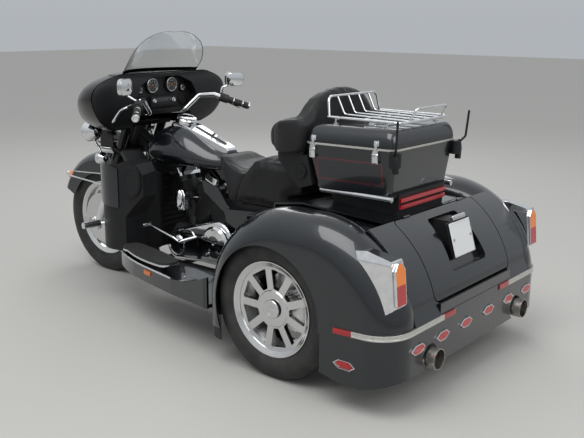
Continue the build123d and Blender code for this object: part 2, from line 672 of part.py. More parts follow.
with BuildPart() as exhaust:
    low_z = 128
    for lean in (-1, 1):
        port_y = crank_y + lean * port_up * sin(radians(vee_half))
        port_z = crank_z + port_up * cos(radians(vee_half))
        down_x = -fin_r - 82
        tube([(-fin_r - rest_gap, port_y, port_z), (-fin_r - 44, port_y, port_z),
              (down_x, port_y + lean * 28, port_z - 64), (down_x, port_y + lean * 34, low_z + 40),
              (down_x, port_y + 110, low_z + 12), (down_x, 330, low_z + 12)], 22, 26)
    for side in (-1, 1):
        tube([(0, 300, low_z), (side * 180, 310, low_z), (side * 290, 420, low_z),
              (side * 290, rear_axle_y + 180, low_z), (side * exhaust_x, rear_axle_y + 250, exhaust_z),
              (side * exhaust_x, rear_axle_y + 370, exhaust_z)], 24, 40)
        rod((side * exhaust_x, rear_axle_y + 345, exhaust_z), (side * exhaust_x, rear_axle_y + 580, exhaust_z), 46)
        rod((side * exhaust_x, rear_axle_y + 580, exhaust_z), (side * exhaust_x, rear_axle_y + 660, exhaust_z),
            tip_r)
        rod((side * exhaust_x, rear_axle_y + 560, exhaust_z), (side * exhaust_x, rear_axle_y + 661, exhaust_z),
            tip_r - 2.5, mode=Mode.SUBTRACT)
finish(exhaust, "exhaust")

# Tank: columns are Y, half width low down, half width, low Z, wide Z and top Z
tank_rows = [
    (-586, 58, 95, 735, 768, 806),
    (-520, 100, 150, 718, 776, 872),
    (-400, 118, 168, 718, 780, 915),
    (-220, 92, 134, 718, 770, 857),
    (-52, 46, 74, 719, 750, 803),
]


def over_backbone(along):
    # height of a line just over the backbone's middle length
    slope = (backbone_mid[1] - backbone_front[1]) / (backbone_mid[0] - backbone_front[0])
    return backbone_front[1] + (along - backbone_front[0]) * slope + (backbone_r + rest_gap) * sqrt(1 + slope ** 2)


def console_bed(along):
    return 893 - (along + 445) * 0.262


def console_plan(grow):
    # wide round the cap, narrow at the seat
    return both([(console_half - 12 + grow, -445), (console_half + grow, -415), (console_half + grow, -335),
                 (console_tail + grow, -60), (console_tail + grow, -30)])


cap_r = 54
with BuildPart() as console_room:
    slab([(-445, console_bed(-445)), (-40, console_bed(-40)), (-40, 990), (-445, 990)], at_side(-100), 200)
    slab(console_plan(rest_gap), Plane.XY.offset(700), 400, mode=Mode.INTERSECT)

with BuildPart() as fuel_tank:
    faces = []
    for along, low_half, half, low, wide, top in tank_rows:
        with BuildSketch(at_front(along)) as row:
            with BuildLine():
                Line((-low_half, low), (low_half, low))
                ThreePointArc((low_half, low), (half - (half - low_half) * 0.2, low + (wide - low) * 0.35),
                              (half, wide))
                ThreePointArc((half, wide), (half * 0.74, top - (top - wide) * 0.3), (0, top))
                ThreePointArc((0, top), (-half * 0.74, top - (top - wide) * 0.3), (-half, wide))
                ThreePointArc((-half, wide), (-half + (half - low_half) * 0.2, low + (wide - low) * 0.35),
                              (-low_half, low))
            make_face()
        faces.append(row.sketch)
    loft(faces)
    slab([(-600, 700), (-600, over_backbone(-600)), (-40, over_backbone(-40)), (-40, 700)],
         at_side(-tunnel_half), 2 * tunnel_half, mode=Mode.SUBTRACT)
    add(console_room.part, mode=Mode.SUBTRACT)
finish(fuel_tank, "fuel_tank")

with BuildPart() as tank_console:
    slab([(-445 + rest_gap, console_bed(-445) + rest_gap), (-445 + rest_gap, 914), (-428, 930), (-320, 912),
          (-62, 824), (-54, 812), (-54, console_bed(-54) + rest_gap)], at_side(-100), 200)
    slab(console_plan(0), Plane.XY.offset(700), 400, mode=Mode.INTERSECT)
    crown = tank_console.faces().filter_by(lambda face: face.normal_at().Z > 0.5)
    fillet(crown.edges().filter_by(lambda edge: abs(edge.center().X) > 20), radius=6)
    slab([(-312, 901), (-92, 826), (-92, 880), (-312, 960)], at_side(-15), 30, mode=Mode.SUBTRACT)
    turned([(-40, 0), (-40, cap_r), (4, cap_r), (10, cap_r - 4), (14, cap_r - 14), (16, 0)], (0, -380, 940),
           (0, 0.25, 0.968))
finish(tank_console, "tank_console")

# Seat and backrest

seat_low_z = seat_rail_z + seat_rail_r + rest_gap
seat_end_y = rear_axle_y - 169
with BuildPart() as seat:
    slab([(-46, 735), (-48, 812), (-10, 806), (60, 768), (130, 750), (185, 752), (225, 788), (262, 822),
          (330, 832), (seat_end_y, 836), (seat_end_y, 692), (rear_axle_y - 238, 674),
          (rear_axle_y - 252, 664), (rear_axle_y - 262, seat_low_z), (70, seat_low_z),
          (-10, 690)], at_side(-190), 380)
    slab(both([(96, -60), (128, -10), (165, 60), (190, 150), (190, seat_end_y + 10)]),
         Plane.XY.offset(500), 500, mode=Mode.INTERSECT)
    over = backbone_r + 2
    slab([(-75, over_backbone(-75) + 3), (backbone_mid[0] + 14, backbone_mid[1] + over - 2),
          (backbone_drop[0] + 18, backbone_drop[1] + over - 2), (140, seat_low_z + 3), (140, 500), (-75, 500)],
         at_side(-over), 2 * over, mode=Mode.SUBTRACT)
finish(seat, "seat")


def box_front(up):
    # Y of the box's front wall at a height
    return rear_axle_y - 88 + (box_seam_z - up) * 44 / (box_seam_z - box_low_z)


with BuildPart() as backrest:
    slab([(seat_end_y + 2, 836.5), (seat_end_y + 8, 1000), (rear_axle_y - 128, 1140), (rear_axle_y - 112, 1158),
          (rear_axle_y - 98, 1150), (rear_axle_y - 95, 950), (box_front(945) - 0.5, 945),
          (box_front(840) - 0.5, 836.5)], at_side(-195), 390)
    slab(both([(60, 1170), (130, 1152), (176, 1104), (195, 1010), (195, 800)]), at_front(900), 700,
         mode=Mode.INTERSECT)
    for side in (-1, 1):
        slab([(side * 190, seat_end_y + 2), (side * 250, seat_end_y - 20), (side * 268, rear_axle_y - 245),
              (side * 282, rear_axle_y - 284), (side * 316, rear_axle_y - 284),
              (side * 334, rear_axle_y - 245), (side * 332, rear_axle_y - 150), (side * 300, rear_axle_y - 95),
              (side * 190, rear_axle_y - 95)], Plane.XY.offset(896), 88)
finish(backrest, "backrest")

# Top box


def box_loft(levels, corner, mode=Mode.ADD, creased=True):
    faces = []
    for up, front_half, rear_half, front, back in levels:
        with BuildSketch(Plane.XY.offset(up)) as row:
            Polygon((-front_half, front), (front_half, front), (rear_half, back), (-rear_half, back),
                    align=None)
            fillet(row.vertices(), radius=corner)
        faces.append(row.sketch)
    loft(faces, ruled=creased, mode=mode)


def shrunk(level, wall, up):
    return (up, level[1] - wall, level[2] - wall, level[3] + wall, level[4] - wall)


box_bottom = (box_low_z, 270, 238, rear_axle_y - 44, rear_axle_y + 315)
box_seam = (box_seam_z, 288, 252, rear_axle_y - 88, rear_axle_y + 342)
lid_rows = [
    (box_seam_z + lid_play, 288, 252, rear_axle_y - 88, rear_axle_y + 342),
    (box_seam_z + 34, 282, 248, rear_axle_y - 85, rear_axle_y + 339),
    (box_top_z - 15, 264, 236, rear_axle_y - 76, rear_axle_y + 331),
    (box_top_z, 236, 216, rear_axle_y - 60, rear_axle_y + 318),
]

with BuildPart() as top_box:
    box_loft([box_bottom, box_seam], 34)
    box_loft([shrunk(box_bottom, box_wall, box_low_z + box_wall), shrunk(box_seam, box_wall, box_seam_z)],
             34 - box_wall, Mode.SUBTRACT)
    for along in (rear_axle_y - 30, rear_axle_y + 240):
        rod((box_hinge_x, along, box_seam_z + 1), (box_hinge_x, along + 18, box_seam_z + 1), 5)
        slab([(box_hinge_x, box_seam_z - 3), (box_hinge_x, box_seam_z - 10), (box_hinge_x + 40, box_seam_z - 20),
              (box_hinge_x + 40, box_seam_z - 3)], at_front(along + 18), 18)
    box_loft([shrunk(box_bottom, box_wall, box_low_z + box_wall), shrunk(box_seam, box_wall, box_seam_z)],
             34 - box_wall, Mode.SUBTRACT)
finish(top_box, "top_box")


def lid_hollow():
    rows = [shrunk(lid_rows[0], box_wall, lid_rows[0][0])]
    rows += [shrunk(row, box_wall, row[0] - 2) for row in lid_rows[1:-1]]
    rows += [shrunk(lid_rows[-1], box_wall, box_top_z - box_wall)]
    box_loft(rows, 34 - box_wall, Mode.SUBTRACT, creased=False)


with BuildPart() as box_lid:
    box_loft(lid_rows, 34, creased=False)
    lid_hollow()
    for along in (rear_axle_y - 30, rear_axle_y + 240):
        rod((box_hinge_x, along + 18 + rest_gap, box_seam_z + 1), (box_hinge_x, along + 37, box_seam_z + 1), 5)
        slab([(box_hinge_x, box_seam_z + 3), (box_hinge_x, box_seam_z + 6), (box_hinge_x + 40, box_seam_z + 16),
              (box_hinge_x + 40, box_seam_z + 3)], at_front(along + 37), 19 - rest_gap)
    lid_hollow()
finish(box_lid, "box_lid")

with BuildPart() as luggage_rack:
    rack_z = box_top_z + 26
    front_y, back_y = rear_axle_y - 30, rear_axle_y + 318
    tube([(195, front_y, rack_z), (195, back_y, rack_z), (150, back_y + 14, rack_z),
          (-150, back_y + 14, rack_z), (-195, back_y, rack_z), (-195, front_y, rack_z)], 6, 20)
    tube([(194.4, front_y + 6, rack_z - 1), (182, front_y - 10, rack_z + 84), (-182, front_y - 10, rack_z + 84),
          (-194.4, front_y + 6, rack_z - 1)], 5.6, 28)
    for x in (-117, -39, 39, 117):
        tube([(x, front_y - 10, rack_z + 84), (x, front_y + 30, rack_z + 6), (x, back_y + 13, rack_z + 1)], 4.4, 24)
    tube([(130, back_y + 13, rack_z + 1), (124, back_y + 44, rack_z + 56), (-124, back_y + 44, rack_z + 56),
          (-130, back_y + 13, rack_z + 1)], 4.8, 20)
    rod((-193, rear_axle_y + 130, rack_z - 2), (193, rear_axle_y + 130, rack_z - 2), 4)
    for x in (-195, 195):
        for along in (front_y + 40, back_y - 50):
            rod((x, along, box_top_z + rest_gap), (x, along, rack_z), 5)
            rod((x, along, box_top_z + rest_gap), (x, along, box_top_z + 4), 11)
finish(luggage_rack, "luggage_rack")

grown_box = [shrunk(box_bottom, -rest_gap, box_low_z), shrunk(box_seam, -rest_gap, box_seam_z)]
with BuildPart() as box_trim:
    for along in (rear_axle_y - 38, rear_axle_y + 262):
        wide = 288 - (along - rear_axle_y + 88) * 36 / 430
        with BuildSketch(at_side(wide - 4)) as latch:
            with Locations((along, box_seam_z - 32)):
                RectangleRounded(26, 46, 6)
        extrude(latch.sketch, amount=13)
    box_loft(grown_box, 34 + rest_gap, Mode.SUBTRACT)
    for side in (-1, 1):
        rod((side * 244, rear_axle_y - 24, box_low_z - bar_drop), (side * 244, rear_axle_y + 335, box_low_z - bar_drop),
            bar_drop - 1.5)
finish(box_trim, "box_trim")

with BuildPart() as rear_pods:
    slab([(rear_axle_y - 239, 893), (rear_axle_y - 233, 856), (rear_axle_y - 120, 745),
          (box_front(768), 768), (box_front(893), 893)], at_side(197), 84, corner=4)
    rod((280, rear_axle_y - 108, 820), (285, rear_axle_y - 108, 820), 34)
    with BuildSketch(Plane.XY.offset(884)) as pod:
        with Locations((247, rear_axle_y + 346)):
            Circle(24)
    extrude(pod.sketch, amount=58)
    tube([(262, rear_axle_y + 350, 930), (286, rear_axle_y + 372, 960), (292, rear_axle_y + 380, 1074)], 5, 20)
    box_loft(grown_box, 34 + rest_gap, Mode.SUBTRACT)
    mirror(about=Plane.YZ)
finish(rear_pods, "rear_pods")

# Rear body


def arc_plane(along, tilt=(0, -1, 0)):
    return Plane(origin=(0, along, arc_z), x_dir=(1, 0, 0), z_dir=tilt)


def fender_band(line_of, mode=Mode.ADD):
    # carries one section over the wheel: down the front, round, along the top and down behind
    with BuildSketch(arc_plane(arc_front_y)) as start:
        make_face(line_of())
    revolve(start.sketch, axis=Axis((0, arc_front_y, arc_z), (1, 0, 0)), revolution_arc=90, mode=mode)
    extrude(start.sketch, amount=arc_front_y - arc_rear_y, mode=mode)
    with BuildSketch(arc_plane(arc_rear_y)) as end:
        make_face(line_of())
    revolve(end.sketch, axis=Axis((0, arc_rear_y, arc_z), (-1, 0, 0)), revolution_arc=90, mode=mode)
    with BuildSketch(Plane(origin=(0, arc_front_y, arc_z), x_dir=(1, 0, 0), z_dir=(0, 0, -1))) as foot:
        make_face(line_of())
    extrude(foot.sketch, amount=arc_z - fender_low_z, mode=mode)


def roll_shell():
    middle_r = crest_r - roll_r
    with BuildLine() as outline:
        Line((fender_x + roll_r, 0), (fender_x + roll_r, middle_r))
        ThreePointArc((fender_x + roll_r, middle_r), (fender_x, crest_r), (fender_x - roll_r, middle_r))
        Polyline((fender_x - roll_r, middle_r), (fender_x - roll_r, 0), (fender_x - roll_r + skin, 0),
                 (fender_x - roll_r + skin, middle_r))
        ThreePointArc((fender_x - roll_r + skin, middle_r), (fender_x, crest_r - skin),
                      (fender_x + roll_r - skin, middle_r))
        Polyline((fender_x + roll_r - skin, middle_r), (fender_x + roll_r - skin, 0), (fender_x + roll_r, 0))
    return outline.edges()


def roll_solid(grow):
    middle_r = crest_r - roll_r
    with BuildLine() as outline:
        ThreePointArc((fender_x + roll_r + grow, middle_r), (fender_x, crest_r + grow),
                      (fender_x - roll_r - grow, middle_r))
        Polyline((fender_x - roll_r - grow, middle_r), (fender_x - roll_r - grow, 0),
                 (fender_x + roll_r + grow, 0), (fender_x + roll_r + grow, middle_r))
    return outline.edges()


side_low = [
    (arc_front_y - crest_r - 50, fender_low_z - 20), (arc_front_y - crest_r - 50, 900),
    (arc_rear_y + crest_r + 50, 900), (arc_rear_y + crest_r + 50, bumper_top_z),
    (rear_axle_y + 345, bumper_top_z), (rear_axle_y + 280, 280), (rear_axle_y + 200, 180),
    (rear_axle_y + 200, fender_low_z - 20),
]

with BuildPart() as fender_left:
    fender_band(roll_shell)
    rod((fender_x + 60, rear_axle_y, rear_axle_z), (body_half + 10, rear_axle_y, rear_axle_z), arch_r,
        mode=Mode.SUBTRACT)
    slab(side_low, at_side(300), 400, mode=Mode.INTERSECT)
    slab([(rear_axle_y - 40, 100), (rear_axle_y - 40, 360), (rear_axle_y + 40, 360), (rear_axle_y + 40, 100)],
         at_side(300), fender_x - 300, mode=Mode.SUBTRACT)
    slab([(rear_axle_y + 240, 100), (rear_axle_y + 240, 300), (rear_axle_y + 700, 300),
          (rear_axle_y + 700, 100)], at_side(300), fender_x - 300, mode=Mode.SUBTRACT)
finish(fender_left, "fender_left")

with BuildPart() as fender_right:
    mirror(fender_left.part, about=Plane.YZ)
finish(fender_right, "fender_right")

with BuildPart() as fender_core:
    with BuildSketch(arc_plane(arc_front_y)) as start:
        make_face(roll_solid(rest_gap))
    revolve(start.sketch, axis=Axis((0, arc_front_y, arc_z), (1, 0, 0)), revolution_arc=90)
    extrude(start.sketch, amount=arc_front_y - arc_rear_y)
    with BuildSketch(arc_plane(arc_rear_y)) as end:
        make_face(roll_solid(rest_gap))
    revolve(end.sketch, axis=Axis((0, arc_rear_y, arc_z), (-1, 0, 0)), revolution_arc=90)
    slab([(arc_front_y - crest_r, 0), (arc_front_y - crest_r, arc_z), (arc_rear_y + crest_r, arc_z),
          (arc_rear_y + crest_r, 0)], at_side(fender_x - roll_r - rest_gap), 2 * roll_r)
    mirror(about=Plane.YZ)

def lid_arc(inset):
    # three (Y, Z) points along the trunk lid's outside, or along a line that far inside it
    top, low = Vector(*lid_top), Vector(*lid_low)
    out = Vector(top.Y - low.Y, low.X - top.X).normalized()
    bend_r = ((low - top).length ** 2 / 4 + lid_swell ** 2) / (2 * lid_swell)
    crown = (top + low) * 0.5 + out * lid_swell
    centre = crown - out * bend_r
    points = [centre + (point - centre) * ((bend_r - inset) / bend_r) for point in (top, crown, low)]
    return [(point.X, point.Y) for point in points]


def lid_band(outer, inner, half, mode=Mode.ADD):
    with BuildSketch(at_side(-half)) as band:
        with BuildLine():
            ThreePointArc(*lid_arc(outer))
            ThreePointArc(*lid_arc(inner))
            Line(lid_arc(outer)[0], lid_arc(inner)[0])
            Line(lid_arc(outer)[2], lid_arc(inner)[2])
        make_face()
    extrude(band.sketch, amount=2 * half, mode=mode)


# square to the lid: X across, Y down along it from its middle
lid_plane = Plane(origin=(0, (lid_top[0] + lid_low[0]) / 2, (lid_top[1] + lid_low[1]) / 2), x_dir=(1, 0, 0),
                  z_dir=(0, lid_top[1] - lid_low[1], lid_low[0] - lid_top[0]))
lid_len = sqrt((lid_low[0] - lid_top[0]) ** 2 + (lid_top[1] - lid_low[1]) ** 2)


def lid_prism(gap, mode=Mode.ADD):
    # the rounded mouth of the trunk, or the lid in it
    with BuildSketch(lid_plane) as outline:
        RectangleRounded(2 * (lid_half - gap), lid_len + 8 - 2 * gap, 30 - gap)
    extrude(outline.sketch, amount=120, both=True, mode=mode)


def recess_prism(grow, mode=Mode.ADD):
    with BuildSketch(lid_plane) as outline:
        Polygon((118 + grow, -140 - grow), (148 + grow, 100 + grow), (-148 - grow, 100 + grow),
                (-118 - grow, -140 - grow), align=None)
        fillet(outline.vertices(), radius=18 + grow)
    extrude(outline.sketch, amount=120, both=True, mode=mode)


with BuildPart() as trunk_mouth:
    lid_prism(0)
    slab([(rear_axle_y + 386, 300), (rear_axle_y + 386, 800), (rear_axle_y + 800, 800), (rear_axle_y + 800, 300)],
         at_side(-lid_half), 2 * lid_half, mode=Mode.INTERSECT)

with BuildPart() as plate_room:
    lid_band(-40, recess_depth, 200)
    recess_prism(0, mode=Mode.INTERSECT)

with BuildPart() as plate_pan:
    lid_band(0, recess_depth + 5, 200)
    recess_prism(5, mode=Mode.INTERSECT)

# the deck's outline from its front edge over the top to the trunk lid
deck_rows = [(rear_axle_y - 245, 600), (rear_axle_y - 235, 668), (rear_axle_y - 74, 692),
             (rear_axle_y + 331, 670), (rear_axle_y + 385, 684)]
with BuildPart() as rear_deck:
    with BuildSketch(at_side(deck_half - 6)) as strip:
        with BuildLine():
            Polyline((rear_axle_y - 245, 540), (rear_axle_y - 235, 668 - deck_step),
                     (rear_axle_y - 74, 692 - deck_step), (rear_axle_y + 331, 670 - deck_step), lid_top)
            ThreePointArc(*lid_arc(0))
            Polyline(lid_low, (rear_axle_y + 617, bumper_top_z + rest_gap),
                     (rear_axle_y + 609, bumper_top_z + rest_gap), lid_arc(8)[2])
            ThreePointArc(*lid_arc(8))
            Polyline(lid_arc(8)[0], (rear_axle_y + 331, 663 - deck_step), (rear_axle_y - 74, 685 - deck_step),
                     (rear_axle_y - 229, 662 - deck_step), (rear_axle_y - 238, 540), (rear_axle_y - 245, 540))
        make_face()
    extrude(strip.sketch, amount=fender_x - deck_half - 20)
    mirror(about=Plane.YZ)
    ribbon = deck_rows + [(rear_axle_y + 383, 676), (rear_axle_y + 331, 663), (rear_axle_y - 74, 685),
                          (rear_axle_y - 229, 662), (rear_axle_y - 238, 600)]
    slab(ribbon, at_side(-deck_half), 2 * deck_half)
    slab([(-deck_half, bumper_top_z + rest_gap), (deck_half, bumper_top_z + rest_gap), (deck_half, 387),
          (-deck_half, 387)], at_front(rear_axle_y + 616), 7)
    add(trunk_mouth.part, mode=Mode.SUBTRACT)
    add(fender_core.part, mode=Mode.SUBTRACT)
    for side in (-1, 1):
        rod((side * 214, *lid_axis), (side * 232, *lid_axis), 7.5, mode=Mode.SUBTRACT)
        for start, end in ((200, 214), (232, 246)):
            rod((side * start, *lid_axis), (side * end, *lid_axis), 6)
        rod((side * 213, *lid_axis), (side * 233, *lid_axis), 2)
finish(rear_deck, "rear_deck")

with BuildPart() as trunk_lid:
    lid_band(0, 12, lid_half)
    lid_prism(lid_gap, mode=Mode.INTERSECT)
    add(plate_pan.part)
    add(plate_room.part, mode=Mode.SUBTRACT)
    slab([(rear_axle_y + 391, 300), (rear_axle_y + 391, 720), (rear_axle_y + 700, 720), (rear_axle_y + 700, 300)],
         at_side(-lid_half), 2 * lid_half, mode=Mode.INTERSECT)
    for side in (-1, 1):
        rod((side * 199, *lid_axis), (side * 247, *lid_axis), 7.5, mode=Mode.SUBTRACT)
        rod((side * (214 + rest_gap), *lid_axis), (side * (232 - rest_gap), *lid_axis), 6)
        slab([(lid_axis[0], 684), (lid_axis[0], 680), (lid_axis[0] + 10, 670), (lid_axis[0] + 18, 668)],
             at_side(side * 223 - 8.7), 17.4)
        rod((side * 213, *lid_axis), (side * 233, *lid_axis), 2 + running_gap, mode=Mode.SUBTRACT)
finish(trunk_lid, "trunk_lid")

with BuildPart() as trunk_tub:
    outer_tub = [(rear_axle_y + 130, tub_floor_z - 5), (rear_axle_y + 130, 630), (rear_axle_y + 374, 628),
                 (rear_axle_y + 574, 385), (rear_axle_y + 602, 385), (rear_axle_y + 602, tub_floor_z - 5)]
    inner_tub = [(rear_axle_y + 135, tub_floor_z), (rear_axle_y + 135, 700), (rear_axle_y + 700, 700),
                 (rear_axle_y + 700, 385), (rear_axle_y + 597, 385), (rear_axle_y + 597, tub_floor_z)]
    slab(outer_tub, at_side(-tub_half), 2 * tub_half)
    slab(inner_tub, at_side(-tub_half + 5), 2 * tub_half - 10, mode=Mode.SUBTRACT)
finish(trunk_tub, "trunk_tub")

with BuildPart() as box_pedestal:
    def deck_top(along):
        return 692 - (along - rear_axle_y + 74) * 22 / 405 + rest_gap

    slab([(rear_axle_y, deck_top(rear_axle_y)), (rear_axle_y + 325, deck_top(rear_axle_y + 325)),
          (rear_axle_y + 332, box_low_z - rest_gap), (rear_axle_y - 30, box_low_z - rest_gap)],
         at_side(-186), 372)
    slab([(rear_axle_y - 30, box_low_z - 12), (rear_axle_y + 325, box_low_z - 12),
          (rear_axle_y + 325, box_low_z - rest_gap), (rear_axle_y - 30, box_low_z - rest_gap)],
         at_side(-232), 464)
finish(box_pedestal, "box_pedestal")

with BuildPart() as tail_lamp_housings:
    slab([(rear_axle_y + 405, 628), (rear_axle_y + 460, 634), (rear_axle_y + 575, 614),
          (rear_axle_y + 592, 436), (rear_axle_y + 545, 404), (rear_axle_y + 490, 440), (rear_axle_y + 440, 540)],
         at_side(fender_x + 14), 80, corner=8)
    slab([(fender_x + 14, 395), (fender_x + 94, 395), (fender_x + 94, 600), (fender_x + 76, 638),
          (fender_x + 32, 638), (fender_x + 14, 600)], at_front(rear_axle_y + 620), 260, corner=16,
         mode=Mode.INTERSECT)
    add(fender_core.part, mode=Mode.SUBTRACT)
    mirror(about=Plane.YZ)
finish(tail_lamp_housings, "tail_lamp_housings")

with BuildPart() as red_lenses:
    lamp_back = (0, 178 / sqrt(178 ** 2 + 17 ** 2), 17 / sqrt(178 ** 2 + 17 ** 2))
    lens_plane = Plane(origin=(0, rear_axle_y + 575 + rest_gap, 614), x_dir=(1, 0, 0), z_dir=lamp_back)
    slab([(fender_x + 24, 166), (fender_x + 84, 166), (fender_x + 84, 36), (fender_x + 64, 10),
          (fender_x + 44, 10), (fender_x + 24, 36)], lens_plane, 12, corner=5)
    for up in (736, 708):
        slab([(0, up - 8), (180, up - 8), (180, up + 8), (0, up + 8)], at_front(rear_axle_y + 341), 12)
    add(box_pedestal.part, mode=Mode.SUBTRACT)
    for x in (478, 291, 100):
        with BuildSketch(at_front(arc_rear_y + crest_r + 7)) as diamond:
            with Locations((x, 256)):
                Polygon((-44, 0), (-22, 15), (22, 15), (44, 0), (22, -15), (-22, -15), align=None)
        extrude(diamond.sketch, amount=7 - rest_gap)
    mirror(about=Plane.YZ)
finish(red_lenses, "red_lenses")

# Bumper

with BuildPart() as rear_bumper:
    def bumper_plan(inset):
        reach = roll_r - inset
        middle = arc_rear_y + crest_r - roll_r
        Polyline((body_half - inset, rear_axle_y + 285), (body_half - inset, middle))
        ThreePointArc((body_half - inset, middle),
                      (fender_x + reach * sin(radians(45)), middle + reach * cos(radians(45))),
                      (fender_x, middle + reach))
        Line((fender_x, middle + reach), (0, middle + reach))

    with BuildSketch(Plane.XY.offset(100)) as plan:
        with BuildLine():
            bumper_plan(0)
            bumper_plan(bumper_t)
            Line((0, arc_rear_y + crest_r), (0, arc_rear_y + crest_r - bumper_t))
            Line((body_half, rear_axle_y + 285), (body_half - bumper_t, rear_axle_y + 285))
        make_face()
    extrude(plan.sketch, amount=bumper_top_z - 100)
    slab([(rear_axle_y + 270, 130), (rear_axle_y + 270, 270 - rest_gap), (rear_axle_y + 280, 280 - rest_gap),
          (rear_axle_y + 345, bumper_top_z), (rear_axle_y + 700, bumper_top_z), (rear_axle_y + 700, 150),
          (rear_axle_y + 610, 146), (rear_axle_y + 470, 108), (rear_axle_y + 380, 108)],
         at_side(-10), body_half + 20, mode=Mode.INTERSECT)
    rod((exhaust_x, rear_axle_y + 500, exhaust_z), (exhaust_x, rear_axle_y + 700, exhaust_z), tip_r + 12,
        mode=Mode.SUBTRACT)
    mirror(about=Plane.YZ)
finish(rear_bumper, "rear_bumper")

# Plate holder on the trunk lid

plate_plane = Plane(origin=(0, (plate_top[0] + plate_low[0]) / 2, (plate_top[1] + plate_low[1]) / 2),
                    x_dir=(1, 0, 0), z_dir=(0, plate_top[1] - plate_low[1], plate_low[0] - plate_top[0]))
plate_len = sqrt((plate_low[0] - plate_top[0]) ** 2 + (plate_top[1] - plate_low[1]) ** 2)
with BuildPart() as plate_holder:
    slab([plate_top, plate_low, (plate_low[0] - 120, plate_low[1]), (plate_top[0] - 150, plate_top[1])],
         at_side(-52), 104)
    recess_prism(-2, mode=Mode.INTERSECT)
    lid_band(recess_depth - rest_gap, 200, 200, mode=Mode.SUBTRACT)
    with BuildSketch(plate_plane) as plate:
        RectangleRounded(2 * 92, plate_len, 6)
    extrude(plate.sketch, amount=-6)
    for side in (-1, 1):
        with BuildSketch(plate_plane) as screw:
            with Locations((side * 70, 0)):
                Circle(3)
        extrude(screw.sketch, amount=-12, mode=Mode.SUBTRACT)
finish(plate_holder, "plate_holder")

# Side panels

with BuildPart() as side_covers:
    slab([(78, 560), (330, 578), (345, 540), (300, 470), (180, 462), (96, 500)], at_side(192), 12, corner=8)
    slab([(-77, 682), (31, 657), (92, 580), (110, 572), (100, 545), (61, 548), (-64, 627)], at_side(184), 10,
         corner=7)
    for along in (150, 300):
        rod((108, along, 560), (192, along, 540), 6)
    mirror(about=Plane.YZ)
    add(frame.part, mode=Mode.SUBTRACT)
finish(side_covers, "side_covers")

# Lower fairings, guard and pegs


def wrap_arc(inset):
    # the lower fairing's line round its outer front corner, seen from above
    return (232, inset - 690), (352 - inset * 0.86, inset * 0.86 - 660), (404 - inset, -470)


with BuildPart() as lower_fairings:
    with BuildSketch(Plane.XY.offset(300)) as wrap:
        with BuildLine():
            ThreePointArc(*wrap_arc(0))
            Line(wrap_arc(0)[2], wrap_arc(7)[2])
            ThreePointArc(*wrap_arc(7))
            Line(wrap_arc(7)[0], wrap_arc(0)[0])
        make_face()
    extrude(wrap.sketch, amount=436)
    slab([(-700, 546), (-700, 640), (-660, 704), (-596, 734), (-520, 738), (-466, 716), (-466, 516), (-560, 524)],
         at_side(200), 240, corner=18, mode=Mode.INTERSECT)
    mirror(about=Plane.YZ)
finish(lower_fairings, "lower_fairings")

with BuildPart() as fairing_pockets:
    with BuildSketch(Plane.XY.offset(290)) as plan:
        with BuildLine():
            ThreePointArc(*wrap_arc(7 + rest_gap))
            Polyline(wrap_arc(7 + rest_gap)[2], (342, -348), (240, -356), wrap_arc(7 + rest_gap)[0])
        make_face()
    extrude(plan.sketch, amount=480)
    slab([(-700, 400), (-684, 372), (-606, 292), (-442, 292), (-442, 470), (-392, 536), (-346, 590), (-346, 690),
          (-382, 744), (-440, 758), (-520, 722), (-640, 690), (-700, 630)],
         at_side(guard_x + guard_r + rest_gap), 240, corner=12, mode=Mode.INTERSECT)
    outward = Plane(origin=(364, -402, 660), x_dir=(-0.41, 0.912, 0), z_dir=(0.912, 0.41, 0))
    with BuildSketch(outward) as oval:
        Ellipse(50, 84)
    extrude(oval.sketch, amount=14, both=True)
    rod((guard_x, guard_y, peg_z), (382, -662, peg_z), 10, mode=Mode.SUBTRACT)
    mirror(about=Plane.YZ)
finish(fairing_pockets, "fairing_pockets")

with BuildPart() as engine_guard:
    tube([(cradle_x + cradle_r - 0.7, -564, 300), (170, -564, 300), (guard_x, guard_y, 350),
          (guard_x, guard_y, 560), (170, -596, 600), (cradle_x + cradle_r - 12.6, -596, 600)], guard_r, 24)
    rod((guard_x, guard_y, peg_z), (382, -662, peg_z), 9)
    rod((380, -662, peg_z), (476, -674, peg_z), 17)
    mirror(about=Plane.YZ)
finish(engine_guard, "engine_guard")

# Running boards and footboards
board_floor_z = 236
board_lip_z = 292 - rest_gap
board_end_y = arc_front_y - crest_r - 5


def board_plan(inset):
    # outer edge seen from above, from the front tip to the rear fender
    reach = 600 - inset
    ThreePointArc((342, inset - 544), (430 - inset, -408), (484 - inset, -274))
    ThreePointArc((484 - inset, -274), (526 - inset, -100), (562 - inset, 78))
    Polyline((562 - inset, 78), (reach, board_end_y - 24), (reach, board_end_y), (240, board_end_y),
             (240, inset - 476), (342, inset - 544))


with BuildPart() as running_boards:
    with BuildSketch(Plane.XY.offset(218)) as skirt:
        with BuildLine():
            board_plan(0)
        make_face()
    extrude(skirt.sketch, amount=362 - 218)
    with BuildSketch(Plane.XY.offset(board_floor_z)) as tread:
        with BuildLine():
            board_plan(12)
        make_face()
    extrude(tread.sketch, amount=200, mode=Mode.SUBTRACT)
    slab([(200, board_floor_z), (262, board_floor_z), (262, 400), (200, 400)], at_front(board_end_y + 5),
         1200, mode=Mode.SUBTRACT)
    slab([(-560, board_lip_z), (90, board_lip_z), (190, 304), (270, 330), (board_end_y, 362), (board_end_y + 10, 420),
          (-560, 420)], at_side(200), 500, mode=Mode.SUBTRACT)
    mirror(about=Plane.YZ)
finish(running_boards, "running_boards")

